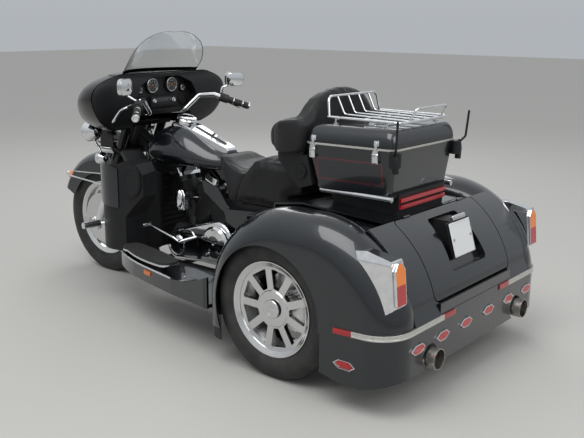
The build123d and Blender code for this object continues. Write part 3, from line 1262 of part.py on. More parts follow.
with BuildPart() as footboards:
    with BuildSketch(Plane.XY.offset(312)) as rest:
        with BuildLine():
            ThreePointArc((338, -398), (392, -432), (440, -366))
            ThreePointArc((440, -366), (494, -214), (518, -50))
            ThreePointArc((518, -50), (480, 0), (414, -34))
            ThreePointArc((414, -34), (372, -190), (338, -398))
        make_face()
    extrude(rest.sketch, amount=22)
    for x, along in ((392, -330), (452, -80)):
        rod((x, along, board_floor_z + rest_gap), (x, along, 313), 12)
    mirror(about=Plane.YZ)
finish(footboards, "footboards")

pedal_y, pedal_z = crank_y + 75, crank_z + 22
with BuildPart() as foot_controls:
    for side, root in ((1, primary_x + 96 + rest_gap), (-1, case_half + 38 + rest_gap)):
        rod((side * root, pedal_y, pedal_z), (side * 246, pedal_y, pedal_z), 9)
        tube([(side * 240, pedal_y, pedal_z), (side * 250, pedal_y - 30, pedal_z + 20),
              (side * 262, -396, 418), (side * 262, -406, 419)], 7, 14)
        rod((side * 256, -402, 419), (side * 312, -402, 419), 12)
finish(foot_controls, "foot_controls")

with BuildPart() as mudflaps:
    flap_r = roll_r - skin - rest_gap
    with BuildSketch(Plane.XY.offset(120)) as flap:
        with BuildLine():
            CenterArc((fender_x, arc_front_y - crest_r + roll_r), flap_r, -85, 80)
            CenterArc((fender_x, arc_front_y - crest_r + roll_r), flap_r - 4, -85, 80)
            for turn in (-85, -5):
                PolarLine((fender_x + (flap_r - 4) * cos(radians(turn)),
                           arc_front_y - crest_r + roll_r + (flap_r - 4) * sin(radians(turn))), 4, turn)
        make_face()
    extrude(flap.sketch, amount=110)
    mirror(about=Plane.YZ)
finish(mudflaps, "mudflaps")
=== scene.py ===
import bpy, bmesh, math
from functools import partial
from mathutils import Matrix, Vector


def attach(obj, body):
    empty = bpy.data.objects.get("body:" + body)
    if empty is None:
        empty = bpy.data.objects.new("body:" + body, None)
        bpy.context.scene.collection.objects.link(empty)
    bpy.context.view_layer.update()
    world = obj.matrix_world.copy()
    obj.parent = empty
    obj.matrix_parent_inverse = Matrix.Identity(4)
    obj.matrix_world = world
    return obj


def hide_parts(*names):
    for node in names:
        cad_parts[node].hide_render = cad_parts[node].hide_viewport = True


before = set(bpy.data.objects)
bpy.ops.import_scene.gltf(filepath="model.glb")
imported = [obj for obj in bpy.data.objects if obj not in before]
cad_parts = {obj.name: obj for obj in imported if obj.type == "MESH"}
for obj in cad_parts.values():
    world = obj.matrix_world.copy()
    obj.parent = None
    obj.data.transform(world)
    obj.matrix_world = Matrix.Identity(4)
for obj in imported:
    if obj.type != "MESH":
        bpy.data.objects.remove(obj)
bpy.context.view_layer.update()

cameraSetup = {
    "place": (3.050, 2.828, 1.459),
    "yaw": 50.8,       # degrees, towards the front right of the trike
    "pitch": 13.5,     # degrees down
    "roll": 0.4,
    "lens": 51.35,
}
studio = {
    "floorSize": 60,
    "floorColor": (0.45, 0.44, 0.42, 1),
    "skyTop": (0.95, 0.98, 1.0, 1),
    "skySide": (0.54, 0.57, 0.60, 1),
    "skyStrength": 0.80,
    "lamps": [  # name, place, aim, size, power
        ("keyLamp", (2.6, 0.6, 5.2), (0, 0.1, 0.5), 3.6, 150),
        ("rearLamp", (0.6, 5.2, 4.0), (0, 0.5, 0.5), 3.0, 80),
        ("frontLamp", (-3.8, -3.0, 4.2), (0, -0.4, 0.6), 3.0, 70),
    ],
}


def deselectAll():
    if bpy.context.object and bpy.context.object.mode != "OBJECT":
        bpy.ops.object.mode_set(mode="OBJECT")
    for obj in bpy.context.selected_objects:
        obj.select_set(False)


def wire(tree, node, inputs):
    # a constant is set on the node's own input, another node's output is linked to it
    for key, value in inputs.items():
        if isinstance(value, bpy.types.NodeSocket):
            tree.links.new(value, node.inputs[key])
        else:
            node.inputs[key].default_value = value


def addNode(tree, kind, inputs, **settings):
    node = tree.nodes.new("ShaderNode" + kind)
    for key, value in settings.items():
        setattr(node, key, value)
    wire(tree, node, inputs)
    return node.outputs


def newMaterial(name):
    item = bpy.data.materials.new(name)
    item.use_nodes = True
    return item, item.node_tree, item.node_tree.nodes["Principled BSDF"]


def placeCamera(setup):
    yaw, pitch, roll = (math.radians(setup[key]) for key in ("yaw", "pitch", "roll"))
    ahead = Vector((-math.sin(yaw) * math.cos(pitch), -math.cos(yaw) * math.cos(pitch), -math.sin(pitch)))
    right = ahead.cross(Vector((0, 0, 1))).normalized()
    up = right.cross(ahead)
    right, up = right * math.cos(roll) + up * math.sin(roll), up * math.cos(roll) - right * math.sin(roll)
    bpy.ops.object.camera_add()
    camera = bpy.context.object
    camera.name = "photoCamera"
    turn = Matrix((right, up, -ahead)).transposed().to_4x4()
    camera.matrix_world = Matrix.Translation(setup["place"]) @ turn
    camera.data.lens = setup["lens"]
    camera.data.sensor_width = 36
    camera.data.clip_end = 200
    bpy.context.scene.camera = camera


def buildStudio(setup):
    bpy.context.scene.view_settings.view_transform = "Standard"
    deselectAll()
    bpy.ops.mesh.primitive_plane_add(size=setup["floorSize"], location=(0, 0, 0))
    floor = bpy.context.object
    floor.name = "studioFloor"
    concrete, tree, shader = newMaterial("floorConcrete")
    wire(tree, shader, {"Base Color": setup["floorColor"], "Roughness": 0.8, "Specular IOR Level": 0.25})
    floor.data.materials.append(concrete)
    world = bpy.data.worlds.new("studioSky")
    bpy.context.scene.world = world
    world.use_nodes = True
    tree = world.node_tree
    axes = addNode(tree, "SeparateXYZ", {0: addNode(tree, "TexCoord", {})["Generated"]})
    sky = addNode(tree, "ValToRGB", {"Fac": axes["Z"]})["Color"]
    stops = sky.node.color_ramp.elements
    stops[0].position, stops[0].color = 0.0, setup["skySide"]
    stops[1].position, stops[1].color = 0.75, setup["skyTop"]
    wire(tree, tree.nodes["Background"], {"Color": sky, "Strength": setup["skyStrength"]})
    for name, place, aim, size, power in setup["lamps"]:
        bpy.ops.object.light_add(type="AREA", location=place)
        lamp = bpy.context.object
        lamp.name = name
        lamp.data.size = size
        lamp.data.energy = power
        lamp.rotation_euler = (Vector(aim) - Vector(place)).to_track_quat("-Z", "Y").to_euler()


placeCamera(cameraSetup)
buildStudio(studio)
print("studio and camera ready")

finishes = {  # two colours, speckle scale, roughness, cloud scale, grain scale, grain height
    "charcoalPaint": ((0.0045, 0.0062, 0.0085), (0.01, 0.0135, 0.018), 2600, (0.22, 0.32), 3, 900, 0.00001,
                      {"metal": 0.45, "coat": 1.0, "coatRough": 0.02}),
    "blackGloss": ((0.004, 0.004, 0.005), (0.008, 0.008, 0.009), 900, (0.2, 0.3), 5, 500, 0.00001,
                   {"specular": 0.3, "coat": 0.3, "coatRough": 0.05}),
    "blackPlastic": ((0.0065, 0.0068, 0.0078), (0.012, 0.0122, 0.0135), 1500, (0.38, 0.54), 8, 1300, 0.0001,
                     {"specular": 0.32}),
    "blackEnamel": ((0.01, 0.01, 0.011), (0.017, 0.017, 0.018), 700, (0.3, 0.48), 12, 420, 0.00005, {}),
    "chromePlate": ((0.8, 0.81, 0.82), (0.7, 0.71, 0.73), 40, (0.03, 0.1), 6, 60, 0.00001, {"metal": 1.0}),
    "castAlloy": ((0.4, 0.4, 0.41), (0.3, 0.3, 0.31), 1100, (0.32, 0.5), 14, 800, 0.00008, {"metal": 1.0}),
    "polishedAlloy": ((0.74, 0.74, 0.74), (0.6, 0.6, 0.6), 300, (0.1, 0.24), 10, 220, 0.00002, {"metal": 1.0}),
    "plainSteel": ((0.62, 0.6, 0.56), (0.48, 0.46, 0.43), 500, (0.2, 0.38), 20, 400, 0.00003, {"metal": 1.0}),
    "softRubber": ((0.012, 0.012, 0.012), (0.022, 0.022, 0.021), 900, (0.62, 0.85), 18, 700, 0.00012, {}),
    "redLens": ((0.4, 0.004, 0.008), (0.3, 0.003, 0.006), 30, (0.08, 0.16), 12, 260, 0.00012,
                {"coat": 0.6, "coatRough": 0.03}),
    "amberLens": ((0.75, 0.2, 0.012), (0.6, 0.13, 0.008), 30, (0.08, 0.16), 12, 260, 0.00012,
                  {"coat": 0.6, "coatRough": 0.03}),
    "silverStrip": ((0.6, 0.59, 0.55), (0.5, 0.49, 0.46), 200, (0.24, 0.36), 9, 160, 0.00004, {"metal": 0.55}),
    "plateWhite": ((0.72, 0.73, 0.73), (0.62, 0.63, 0.63), 900, (0.32, 0.45), 9, 1500, 0.00006, {}),
    "mirrorSilver": ((0.86, 0.87, 0.88), (0.84, 0.85, 0.86), 20, (0.01, 0.03), 5, 20, 0.000002, {"metal": 1.0}),
    "needleOrange": ((0.8, 0.16, 0.02), (0.66, 0.12, 0.02), 900, (0.35, 0.5), 20, 500, 0.00001, {}),
    "dialFace": ((0.006, 0.006, 0.007), (0.012, 0.012, 0.013), 300, (0.2, 0.3), 11, 300, 0.00001,
                 {"coat": 1.0, "coatRough": 0.02}),
}
seatLeather = {"color": (0.0055, 0.0055, 0.0060), "worn": (0.0150, 0.0150, 0.0160), "grain": 620, "wrinkle": 36,
               "wrinkleDeep": 3.0, "wear": 7.0, "rough": (0.40, 0.56), "specular": 0.28, "bump": 0.00022}
clearPanel = {"color": (0.93, 0.95, 0.95), "rough": (0.0, 0.03), "ior": 1.45}
tyreRubber = {"color": (0.012, 0.012, 0.013), "dusty": (0.035, 0.034, 0.032), "bump": 0.004, "rough": (0.60, 0.82),
              "crossGroove": 0.16, "ringGroove": 0.14, "ringsPerMetre": 34.0, "treadDeep": 0.022, "ribs": 900.0,
              "ribHeight": 0.03}
made = {}


def objectPlace(tree):
    return addNode(tree, "TexCoord", {})["Object"]


def axesOf(tree, place):
    return addNode(tree, "SeparateXYZ", {0: place})


def objectNoise(tree, scale, detail):
    return addNode(tree, "TexNoise", {"Scale": scale, "Detail": detail, "Vector": objectPlace(tree)})["Fac"]


def remap(tree, source, low, high):
    return addNode(tree, "MapRange", {"From Min": 0.3, "From Max": 0.7, "To Min": low, "To Max": high,
                                      "Value": source})["Result"]


def cloudBetween(tree, scale, detail, low=0.0, high=1.0):
    return remap(tree, objectNoise(tree, scale, detail), low, high)


def mixColors(tree, amount, first, second):
    return addNode(tree, "Mix", {0: amount, 6: (*first, 1), 7: (*second, 1)}, data_type="RGBA")[2]


def mathNode(tree, operation, *values):
    return addNode(tree, "Math", dict(enumerate(values)), operation=operation)[0]


def addBump(tree, shader, height, distance):
    bump = addNode(tree, "Bump", {"Distance": distance, "Strength": 1.0, "Height": height})
    wire(tree, shader, {"Normal": bump["Normal"]})


def speckledColor(tree, name):
    color, other, speckle = finishes[name][:3]
    return mixColors(tree, cloudBetween(tree, speckle, 1.0), color, other)


def addSurface(tree, shader, name):
    # clouded gloss and a faint unevenness
    rough, cloudScale, grainScale, height, extras = finishes[name][3:]
    wire(tree, shader, {"Roughness": cloudBetween(tree, cloudScale, 4.0, *rough),
                        "Metallic": extras.get("metal", 0.0), "Specular IOR Level": extras.get("specular", 0.5),
                        "Coat Weight": extras.get("coat", 0.0), "Coat Roughness": extras.get("coatRough", 0.05)})
    addBump(tree, shader, objectNoise(tree, grainScale, 2.0), height)


def finishOf(name):
    # a hard surface
    if name not in made:
        made[name], tree, shader = newMaterial(name)
        wire(tree, shader, {"Base Color": speckledColor(tree, name)})
        addSurface(tree, shader, name)
    return made[name]


def leatherFinish(look):
    item, tree, shader = newMaterial("seatLeather")
    wrinkle = objectNoise(tree, look["wrinkle"], 5.0)
    wear = cloudBetween(tree, look["wear"], 3.0)
    wire(tree, shader, {"Base Color": mixColors(tree, wear, look["color"], look["worn"]),
                        "Roughness": remap(tree, wrinkle, *look["rough"]),
                        "Specular IOR Level": look["specular"], "Sheen Weight": 0.06})
    cells = addNode(tree, "TexVoronoi", {"Scale": look["grain"], "Vector": objectPlace(tree)},
                    feature="DISTANCE_TO_EDGE")
    height = mathNode(tree, "MULTIPLY_ADD", wrinkle, look["wrinkleDeep"], cells["Distance"])
    addBump(tree, shader, height, look["bump"])
    return item


def clearFinish(look):
    item, tree, shader = newMaterial("clearPanel")
    wire(tree, shader, {"Base Color": (*look["color"], 1), "Transmission Weight": 1.0, "IOR": look["ior"],
                        "Roughness": cloudBetween(tree, 9.0, 3.0, *look["rough"])})
    return item


def tyreFinish(name, centre, outerRadius, blocks, lean):
    # grooves run across the tread and bend back towards the shoulders, with more round the middle
    item, tree, shader = newMaterial(name)
    calc = partial(mathNode, tree)
    turnedTo = addNode(tree, "Mapping", {"Location": [-value for value in centre], "Vector": objectPlace(tree)})
    x, y, z = axesOf(tree, turnedTo["Vector"])
    radius = calc("SQRT", calc("ADD", calc("MULTIPLY", y, y), calc("MULTIPLY", z, z)))
    across = calc("ABSOLUTE", x)
    turns = calc("MULTIPLY", calc("ARCTAN2", z, y), blocks / (2 * math.pi))
    phase = calc("ADD", turns, calc("MULTIPLY", across, lean))
    cross = calc("GREATER_THAN", calc("FRACT", phase), tyreRubber["crossGroove"])
    rings = calc("FRACT", calc("MULTIPLY", across, tyreRubber["ringsPerMetre"]))
    roundBand = calc("GREATER_THAN", rings, tyreRubber["ringGroove"])
    onTread = calc("GREATER_THAN", radius, outerRadius - tyreRubber["treadDeep"])
    tread = calc("MULTIPLY", calc("MULTIPLY", cross, roundBand), onTread)
    ribs = calc("MULTIPLY", calc("SINE", calc("MULTIPLY", radius, tyreRubber["ribs"])), tyreRubber["ribHeight"])
    addBump(tree, shader, calc("ADD", tread, ribs), tyreRubber["bump"])
    dust = cloudBetween(tree, 14.0, 5.0)
    wire(tree, shader, {"Base Color": mixColors(tree, dust, tyreRubber["color"], tyreRubber["dusty"]),
                        "Roughness": cloudBetween(tree, 300.0, 2.0, *tyreRubber["rough"])})
    return item


def lensFinish(look):
    # red glass, amber in the upper part of the two tail lamps
    item, tree, shader = newMaterial("tailLens")
    calc = partial(mathNode, tree)
    up = axesOf(tree, objectPlace(tree))["Z"]
    low, high = look["amberBetween"]
    amber = calc("MULTIPLY", calc("GREATER_THAN", up, low), calc("LESS_THAN", up, high))
    wire(tree, shader, {"Base Color": mixColors(tree, amber, look["red"], look["amber"]),
                        "Roughness": cloudBetween(tree, 12.0, 3.0, *look["rough"]),
                        "Coat Weight": 0.6, "Coat Roughness": 0.03})
    ribs = addNode(tree, "TexWave", {"Scale": look["ribs"], "Vector": objectPlace(tree)}, bands_direction="X")
    addBump(tree, shader, ribs["Fac"], 0.0003)
    return item


def stripedPaint(look):
    # the box's paint with a red double line on each side, round a rectangle with round corners
    item, tree, shader = newMaterial("stripedPaint")
    calc = partial(mathNode, tree)
    axes = axesOf(tree, objectPlace(tree))
    reach = []
    for key, axis in (("along", "Y"), ("up", "Z")):
        low, high = look[key]
        shifted = calc("ABSOLUTE", calc("SUBTRACT", axes[axis], (low + high) / 2))
        reach.append(calc("SUBTRACT", shifted, (high - low) / 2 - look["corner"]))
    outer = [calc("MAXIMUM", value, 0.0) for value in reach]
    squares = calc("ADD", calc("MULTIPLY", outer[0], outer[0]), calc("MULTIPLY", outer[1], outer[1]))
    inner = calc("MINIMUM", calc("MAXIMUM", *reach), 0.0)
    away = calc("SUBTRACT", calc("ADD", inner, calc("SQRT", squares)), look["corner"])
    wide = calc("LESS_THAN", calc("ABSOLUTE", away), look["wide"])
    thin = calc("LESS_THAN", calc("ABSOLUTE", calc("ADD", away, look["apart"])), look["thin"])
    side = calc("GREATER_THAN", calc("ABSOLUTE", axes["X"]), look["side"])
    lines = calc("MULTIPLY", calc("MAXIMUM", wide, thin), side)
    mix = addNode(tree, "Mix", {0: lines, 6: speckledColor(tree, "charcoalPaint"), 7: (*look["color"], 1)},
                  data_type="RGBA")
    wire(tree, shader, {"Base Color": mix[2]})
    addSurface(tree, shader, "charcoalPaint")
    return item


def forkFinish(look):
    # black covers above, chrome lower legs
    item, tree, shader = newMaterial("forkFinish")
    calc = partial(mathNode, tree)
    upper = calc("GREATER_THAN", axesOf(tree, objectPlace(tree))["Z"], look["coverFrom"])
    smooth = cloudBetween(tree, 9.0, 4.0, *look["rough"])
    wire(tree, shader, {"Base Color": mixColors(tree, upper, look["chrome"], look["cover"]),
                        "Metallic": calc("SUBTRACT", 1.0, upper),
                        "Roughness": calc("ADD", smooth, calc("MULTIPLY", upper, look["duller"]))})
    addBump(tree, shader, objectNoise(tree, 500, 2.0), 0.00002)
    return item


lensLook = {"amberBetween": (0.525, 0.66), "red": (0.42, 0.004, 0.009), "amber": (0.85, 0.20, 0.008),
            "rough": (0.07, 0.16), "ribs": 60.0}
boxStripes = {"along": (0.700, 1.012), "up": (0.800, 0.892), "corner": 0.016, "wide": 0.0013, "thin": 0.0006,
              "apart": 0.0062, "side": 0.236, "color": (0.16, 0.008, 0.012)}
forkLook = {"coverFrom": 0.575, "chrome": (0.78, 0.79, 0.80), "cover": (0.008, 0.008, 0.009),
            "rough": (0.04, 0.12), "duller": 0.25}
leather = leatherFinish(seatLeather)
clear = clearFinish(clearPanel)
nodeFinish = {
    "charcoalPaint": ["fuel_tank", "box_lid", "fender_left", "fender_right", "rear_deck", "trunk_lid",
                      "rear_bumper", "side_covers", "lower_fairings", "running_boards", "front_fender"],
    "blackGloss": ["outer_fairing", "fork_clamps"],
    "blackPlastic": ["inner_fairing", "rear_pods", "box_pedestal", "trunk_tub", "fairing_pockets"],
    "blackEnamel": ["engine_cylinders", "frame", "rear_axle", "plate_holder", "front_calipers"],
    "chromePlate": ["rocker_covers", "primary_cover", "horn_cover", "air_cleaner", "tank_console",
                    "luggage_rack", "box_trim", "tail_lamp_housings", "engine_guard", "foot_controls",
                    "fender_rails", "handlebar", "mirrors", "front_lamps"],
    "castAlloy": ["engine_case"],
    "polishedAlloy": ["front_wheel", "rear_wheel_left", "rear_wheel_right"],
    "plainSteel": ["front_axle", "exhaust"],
    "softRubber": ["footboards", "mudflaps", "hand_controls"],
}
special = {
    "top_box": stripedPaint(boxStripes), "fork_legs": forkFinish(forkLook), "red_lenses": lensFinish(lensLook),
    "seat": leather, "backrest": leather, "windshield": clear, "lamp_glass": clear,
    "front_tyre": tyreFinish("frontTyreRubber", (0, -1.027, 0.320), 0.320, 46, 16.0),
    "rear_tyre_left": tyreFinish("leftTyreRubber", (0.515, 0.725, 0.303), 0.303, 52, 9.0),
    "rear_tyre_right": tyreFinish("rightTyreRubber", (-0.515, 0.725, 0.303), 0.303, 52, 9.0),
}


def dress(obj, item):
    obj.data.materials.clear()
    obj.data.materials.append(item)


for finish, names in nodeFinish.items():
    for name in names:
        dress(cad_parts[name], finishOf(finish))
for name, item in special.items():
    dress(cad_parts[name], item)
print("finishes ready")


def choose(*parts):
    # only these are selected, the first one active
    deselectAll()
    for part in parts:
        part.select_set(True)
    bpy.context.view_layer.objects.active = parts[0]


def editMesh(obj, kind="FACE"):
    choose(obj)
    bpy.ops.object.mode_set(mode="EDIT")
    bpy.ops.mesh.select_mode(type=kind)


def selectAll():
    bpy.ops.mesh.select_all(action="SELECT")


def leaveEdit():
    bpy.ops.object.mode_set(mode="OBJECT")


def pickParts(obj, parts, passes):
    # in edit mode, only the parts that pass stay selected
    mesh = bmesh.from_edit_mesh(obj.data)
    for group in (mesh.verts, mesh.edges, mesh.faces):
        for item in group:
            item.select_set(False)
    for item in getattr(mesh, parts):
        if passes(item):
            item.select_set(True)
    bmesh.update_edit_mesh(obj.data)


def pickFaces(obj, test):
    # test takes a face's centre and normal
    pickParts(obj, "faces", lambda face: test(face.calc_center_median(), face.normal))


def pickEdges(obj, test):
    # test takes an edge's middle and direction
    pickParts(obj, "edges", lambda edge: test((edge.verts[0].co + edge.verts[1].co) / 2,
                                              (edge.verts[1].co - edge.verts[0].co).normalized()))


def facesTop(centre, normal):
    return normal.z > 0.9


def sinkTop(obj, rim, shift):
    # the top face gets a rim and is moved up or down inside it
    editMesh(obj)
    pickFaces(obj, facesTop)
    bpy.ops.mesh.inset(thickness=rim)
    bpy.ops.transform.translate(value=(0, 0, shift))
    leaveEdit()


def stretch(obj, factors):
    editMesh(obj)
    selectAll()
    bpy.ops.transform.resize(value=factors)
    leaveEdit()


def recalculate(obj):
    editMesh(obj)
    selectAll()
    bpy.ops.mesh.normals_make_consistent(inside=False)
    leaveEdit()


def mergeDoubles(obj):
    editMesh(obj)
    selectAll()
    bpy.ops.mesh.remove_doubles(threshold=0.00005)


def applyModifier(obj, kind, **values):
    modifier = obj.modifiers.new(kind.title(), kind)
    for key, value in values.items():
        setattr(modifier, key, value)
    choose(obj)
    bpy.ops.object.modifier_apply(modifier=modifier.name)


def softenRim(obj, width, segments=2):
    applyModifier(obj, "BEVEL", width=width, segments=segments, limit_method="ANGLE", angle_limit=math.radians(38))


def placing(origin, facing=(0, 0, 1), across=(1, 0, 0)):
    # a piece is shaped lying flat at the origin: its x goes across and its z faces out
    out = Vector(facing).normalized()
    right = (Vector(across) - out * out.dot(Vector(across))).normalized()
    return Matrix.Translation(origin) @ Matrix((right, out.cross(right), out)).transposed().to_4x4()


facingRear = ((0, 1, 0), (-1, 0, 0))


def settle(obj, place):
    choose(obj)
    obj.matrix_world = place
    bpy.ops.object.transform_apply(location=True, rotation=True, scale=True)


def stand(obj, origin, facing=(0, 0, 1), across=(1, 0, 0)):
    settle(obj, placing(origin, facing, across))
    return obj


def copyPiece(obj):
    choose(obj)
    bpy.ops.object.duplicate(linked=False)
    return bpy.context.object


def joinPieces(parts):
    choose(*parts)
    if len(parts) > 1:
        bpy.ops.object.join()
    return bpy.context.object


def repeatAt(obj, places):
    # the piece is shaped once at the origin and stands at each place with its own mesh
    copies = [copyPiece(obj) for _ in places[1:]]
    for part, place in zip([obj] + copies, places):
        settle(part, place)
    return joinPieces([obj] + copies)


def otherSide(obj):
    twin = copyPiece(obj)
    settle(twin, Matrix.Diagonal((-1, 1, 1, 1)))
    recalculate(twin)
    return twin


def bothSides(obj):
    return joinPieces([obj, otherSide(obj)])


def handOver(obj, name, finish, body="chassis", angle=32):
    # the finished piece gets smooth shading by angle, its name, finish and body
    choose(obj)
    bpy.ops.object.shade_smooth_by_angle(angle=math.radians(angle))
    obj.name = obj.data.name = name
    dress(obj, finishOf(finish) if isinstance(finish, str) else finish)
    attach(obj, body)


def plate(size, corner=0.0, rim=0.0008, steps=5):
    # a plate that lies on z = 0, with round corners and a soft rim
    deselectAll()
    bpy.ops.mesh.primitive_cube_add(size=1, location=(0, 0, size[2] / 2), scale=size)
    obj = bpy.context.object
    bpy.ops.object.transform_apply(location=True, rotation=False, scale=True)
    if corner:
        editMesh(obj, "EDGE")
        pickEdges(obj, lambda middle, way: abs(way.z) > 0.9)
        bpy.ops.mesh.bevel(offset=corner, segments=steps, affect="EDGES")
        leaveEdit()
    if rim:
        softenRim(obj, rim)
    return obj


def turned(steps, sides=36, rim=0.0005):
    # a round piece: each step is a radius and the height at which it stands; a third value makes a slope
    deselectAll()
    radius, height = steps[0][:2]
    bpy.ops.mesh.primitive_cylinder_add(vertices=sides, radius=radius, depth=height, location=(0, 0, height / 2))
    obj = bpy.context.object
    bpy.ops.object.transform_apply(location=True, rotation=False, scale=False)
    editMesh(obj)
    pickFaces(obj, facesTop)
    for step in steps[1:]:
        bpy.ops.mesh.inset(thickness=max(radius - step[0], 0.00001) * math.cos(math.pi / sides))
        shift = (0, 0, step[1] - height)
        if len(step) > 2:
            bpy.ops.transform.translate(value=shift)
        else:
            bpy.ops.mesh.extrude_region_move(TRANSFORM_OT_translate={"value": shift})
        radius, height = step[:2]
    leaveEdit()
    if rim:
        softenRim(obj, rim)
    return obj


def tubeAlong(points, radius, closed=False, sides=3):
    # a thin round line through the points, made a mesh
    deselectAll()
    bpy.ops.curve.primitive_nurbs_path_add()
    obj = bpy.context.object
    curve = obj.data
    curve.splines.clear()
    spline = curve.splines.new("NURBS")
    spline.points.add(len(points) - 1)
    for spot, point in zip(spline.points, points):
        spot.co = (*point, 1)
    spline.use_cyclic_u = closed
    spline.order_u = 3
    spline.use_endpoint_u = not closed
    spline.resolution_u = 4
    curve.bevel_depth = radius
    curve.bevel_resolution = sides
    curve.use_fill_caps = not closed
    obj.location = (0, 0, 0)
    choose(obj)
    bpy.ops.object.convert(target="MESH")
    return bpy.context.object


def copyOfNode(node, name):
    obj = bpy.data.objects.new(name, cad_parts[node].data.copy())
    bpy.context.scene.collection.objects.link(obj)
    return obj


def bandOf(node, cuts, keep, thick):
    # a band of a CAD surface: a copy is cut by planes, the faces that stay are given a thickness outwards
    obj = copyOfNode(node, "band")
    mergeDoubles(obj)
    for spot, normal in cuts:
        selectAll()
        bpy.ops.mesh.bisect(plane_co=spot, plane_no=normal, clear_outer=True)
    pickFaces(obj, lambda centre, normal: not keep(centre, normal))
    bpy.ops.mesh.delete(type="FACE")
    selectAll()
    bpy.ops.mesh.dissolve_limited(angle_limit=math.radians(1))
    leaveEdit()
    applyModifier(obj, "SOLIDIFY", thickness=thick, offset=1.0, use_even_offset=True, use_quality_normals=True)
    softenRim(obj, 0.0006)
    return obj


def edgeOn(obj, spot, normal, keep, radius):
    # a thin round line where a plane meets the outside of a piece, such as piping in a seam
    twin = copyPiece(obj)
    editMesh(twin)
    selectAll()
    bpy.ops.mesh.bisect(plane_co=spot, plane_no=normal, clear_outer=True)
    pickEdges(twin, lambda middle, way: abs((middle - Vector(spot)).dot(normal)) > 0.00005
              or abs(way.dot(normal)) > 0.02 or not keep(middle))
    bpy.ops.mesh.delete(type="EDGE")
    selectAll()
    bpy.ops.mesh.remove_doubles(threshold=0.0012)
    bpy.ops.mesh.delete(type="ONLY_FACE")
    leaveEdit()
    choose(twin)
    bpy.ops.object.convert(target="CURVE")
    line = bpy.context.object
    line.data.bevel_depth = radius
    line.data.bevel_resolution = 2
    line.data.use_fill_caps = True
    bpy.ops.object.convert(target="MESH")
    return bpy.context.object


def onBothSides(spot, normal, depth, width, region):
    # a seam and its mirror image
    return [((side * spot[0], *spot[1:]), (side * normal[0], *normal[1:]), depth, width, region) for side in (1, -1)]


cushionLook = {
    "seat": {"name": "seatCushion", "shrink": 0.006, "voxel": 0.0065, "rounds": 16, "pressure": 2.5, "cap": 0.012,
             "steps": 20, "settle": 10, "fill": 0.7, "filled": [],
             "seams": [  # a point of the seam's plane, its normal, depth and width of the channel, where it runs
                 ((0, 0.205, 0.78), (0, 0.93, -0.36), 0.0080, 0.0080, "all"),
                 *onBothSides((0.128, 0.10, 0.74), (1, 0.05, 0.30), 0.0035, 0.0060, "front"),
                 *onBothSides((0.140, 0.40, 0.80), (1, 0.0, 0.25), 0.0040, 0.0060, "rear")]},
    "backrest": {"name": "backCushion", "shrink": 0.001, "voxel": 0.0065, "rounds": 30, "pressure": 2.5,
                 "cap": 0.012, "steps": 20, "settle": 10, "fill": 0.7,
                 "armCut": ((0.262, 0.440), (0.781, -0.625)),
                 "filled": [  # the arms rise towards the back and run into it
                     ("side", [(0.424, 0.915), (0.416, 0.960), (0.426, 0.994), (0.462, 1.020), (0.520, 1.040),
                               (0.590, 1.052), (0.630, 1.054), (0.630, 0.905)], 0.168, 0.334),
                     ("front", [(0.326, 0.905), (0.330, 1.026), (0.300, 1.044), (0.268, 1.060), (0.240, 1.083),
                                (0.214, 1.108), (0.176, 1.136), (0.120, 1.156), (0.060, 1.168), (-0.005, 1.171),
                                (-0.005, 0.905)], 0.572, 0.632)],
                 "seams": [*onBothSides((0.082, 0.56, 1.0), (1, 0, 0), 0.0075, 0.0075, "upper"),
                           *onBothSides((0.285, 0.50, 0.95), (1, 0, 0.03), 0.0060, 0.0070, "arms")]},
}
seamRegions = {  # where on the cushion each seam runs
    "all": lambda point: True,
    "front": lambda point: point.y < 0.20 and point.z > 0.70,
    "rear": lambda point: point.y > 0.215 and point.z > 0.72,
    "upper": lambda point: point.z > 0.885 and point.y < 0.600,
    "arms": lambda point: point.z > 0.90 and point.y < 0.622,
}


def drawnOut(outline, shift):
    # a flat outline is filled and drawn out
    deselectAll()
    bpy.ops.mesh.primitive_circle_add(vertices=len(outline), radius=0.1, fill_type="NGON", location=(0, 0, 0))
    obj = bpy.context.object
    editMesh(obj)
    mesh = bmesh.from_edit_mesh(obj.data)
    mesh.verts.ensure_lookup_table()
    for vert, point in zip(mesh.verts, outline):
        vert.co = point
    bmesh.update_edit_mesh(obj.data)
    selectAll()
    bpy.ops.mesh.extrude_region_move(TRANSFORM_OT_translate={"value": shift})
    leaveEdit()
    recalculate(obj)
    return obj


def filledCorner(seenFrom, outline, start, end):
    # a filled corner of a cushion, drawn from the front (x, z) or the side (y, z)
    if seenFrom == "front":
        return bothSides(drawnOut([(first, start, up) for first, up in outline], (0, end - start, 0)))
    return bothSides(drawnOut([(start, first, up) for first, up in outline], (end - start, 0, 0)))


def inflate(cushion, look):
    # the cover is blown up as cloth, and no point moves further than the cap
    cloth = cushion.modifiers.new("Cloth", "CLOTH")
    cloth.settings.quality = 4
    cloth.settings.mass = 0.3
    cloth.settings.tension_stiffness = cloth.settings.compression_stiffness = 18
    cloth.settings.bending_stiffness = 6
    cloth.settings.use_pressure = True
    cloth.settings.uniform_pressure_force = look["pressure"]
    cloth.settings.effector_weights.gravity = 0
    cloth.collision_settings.use_collision = False
    scene = bpy.context.scene
    start = [vertex.co.copy() for vertex in cushion.data.vertices]
    for step in range(1, look["steps"] + 1):
        scene.frame_set(step)
    puffed = cushion.evaluated_get(bpy.context.evaluated_depsgraph_get())
    ends = [vertex.co.copy() for vertex in puffed.data.vertices]
    cushion.modifiers.remove(cloth)
    for vertex, first, last in zip(cushion.data.vertices, start, ends):
        move = last - first
        if move.length > look["cap"]:
            move *= look["cap"] / move.length
        vertex.co = first + move
    scene.frame_set(1)


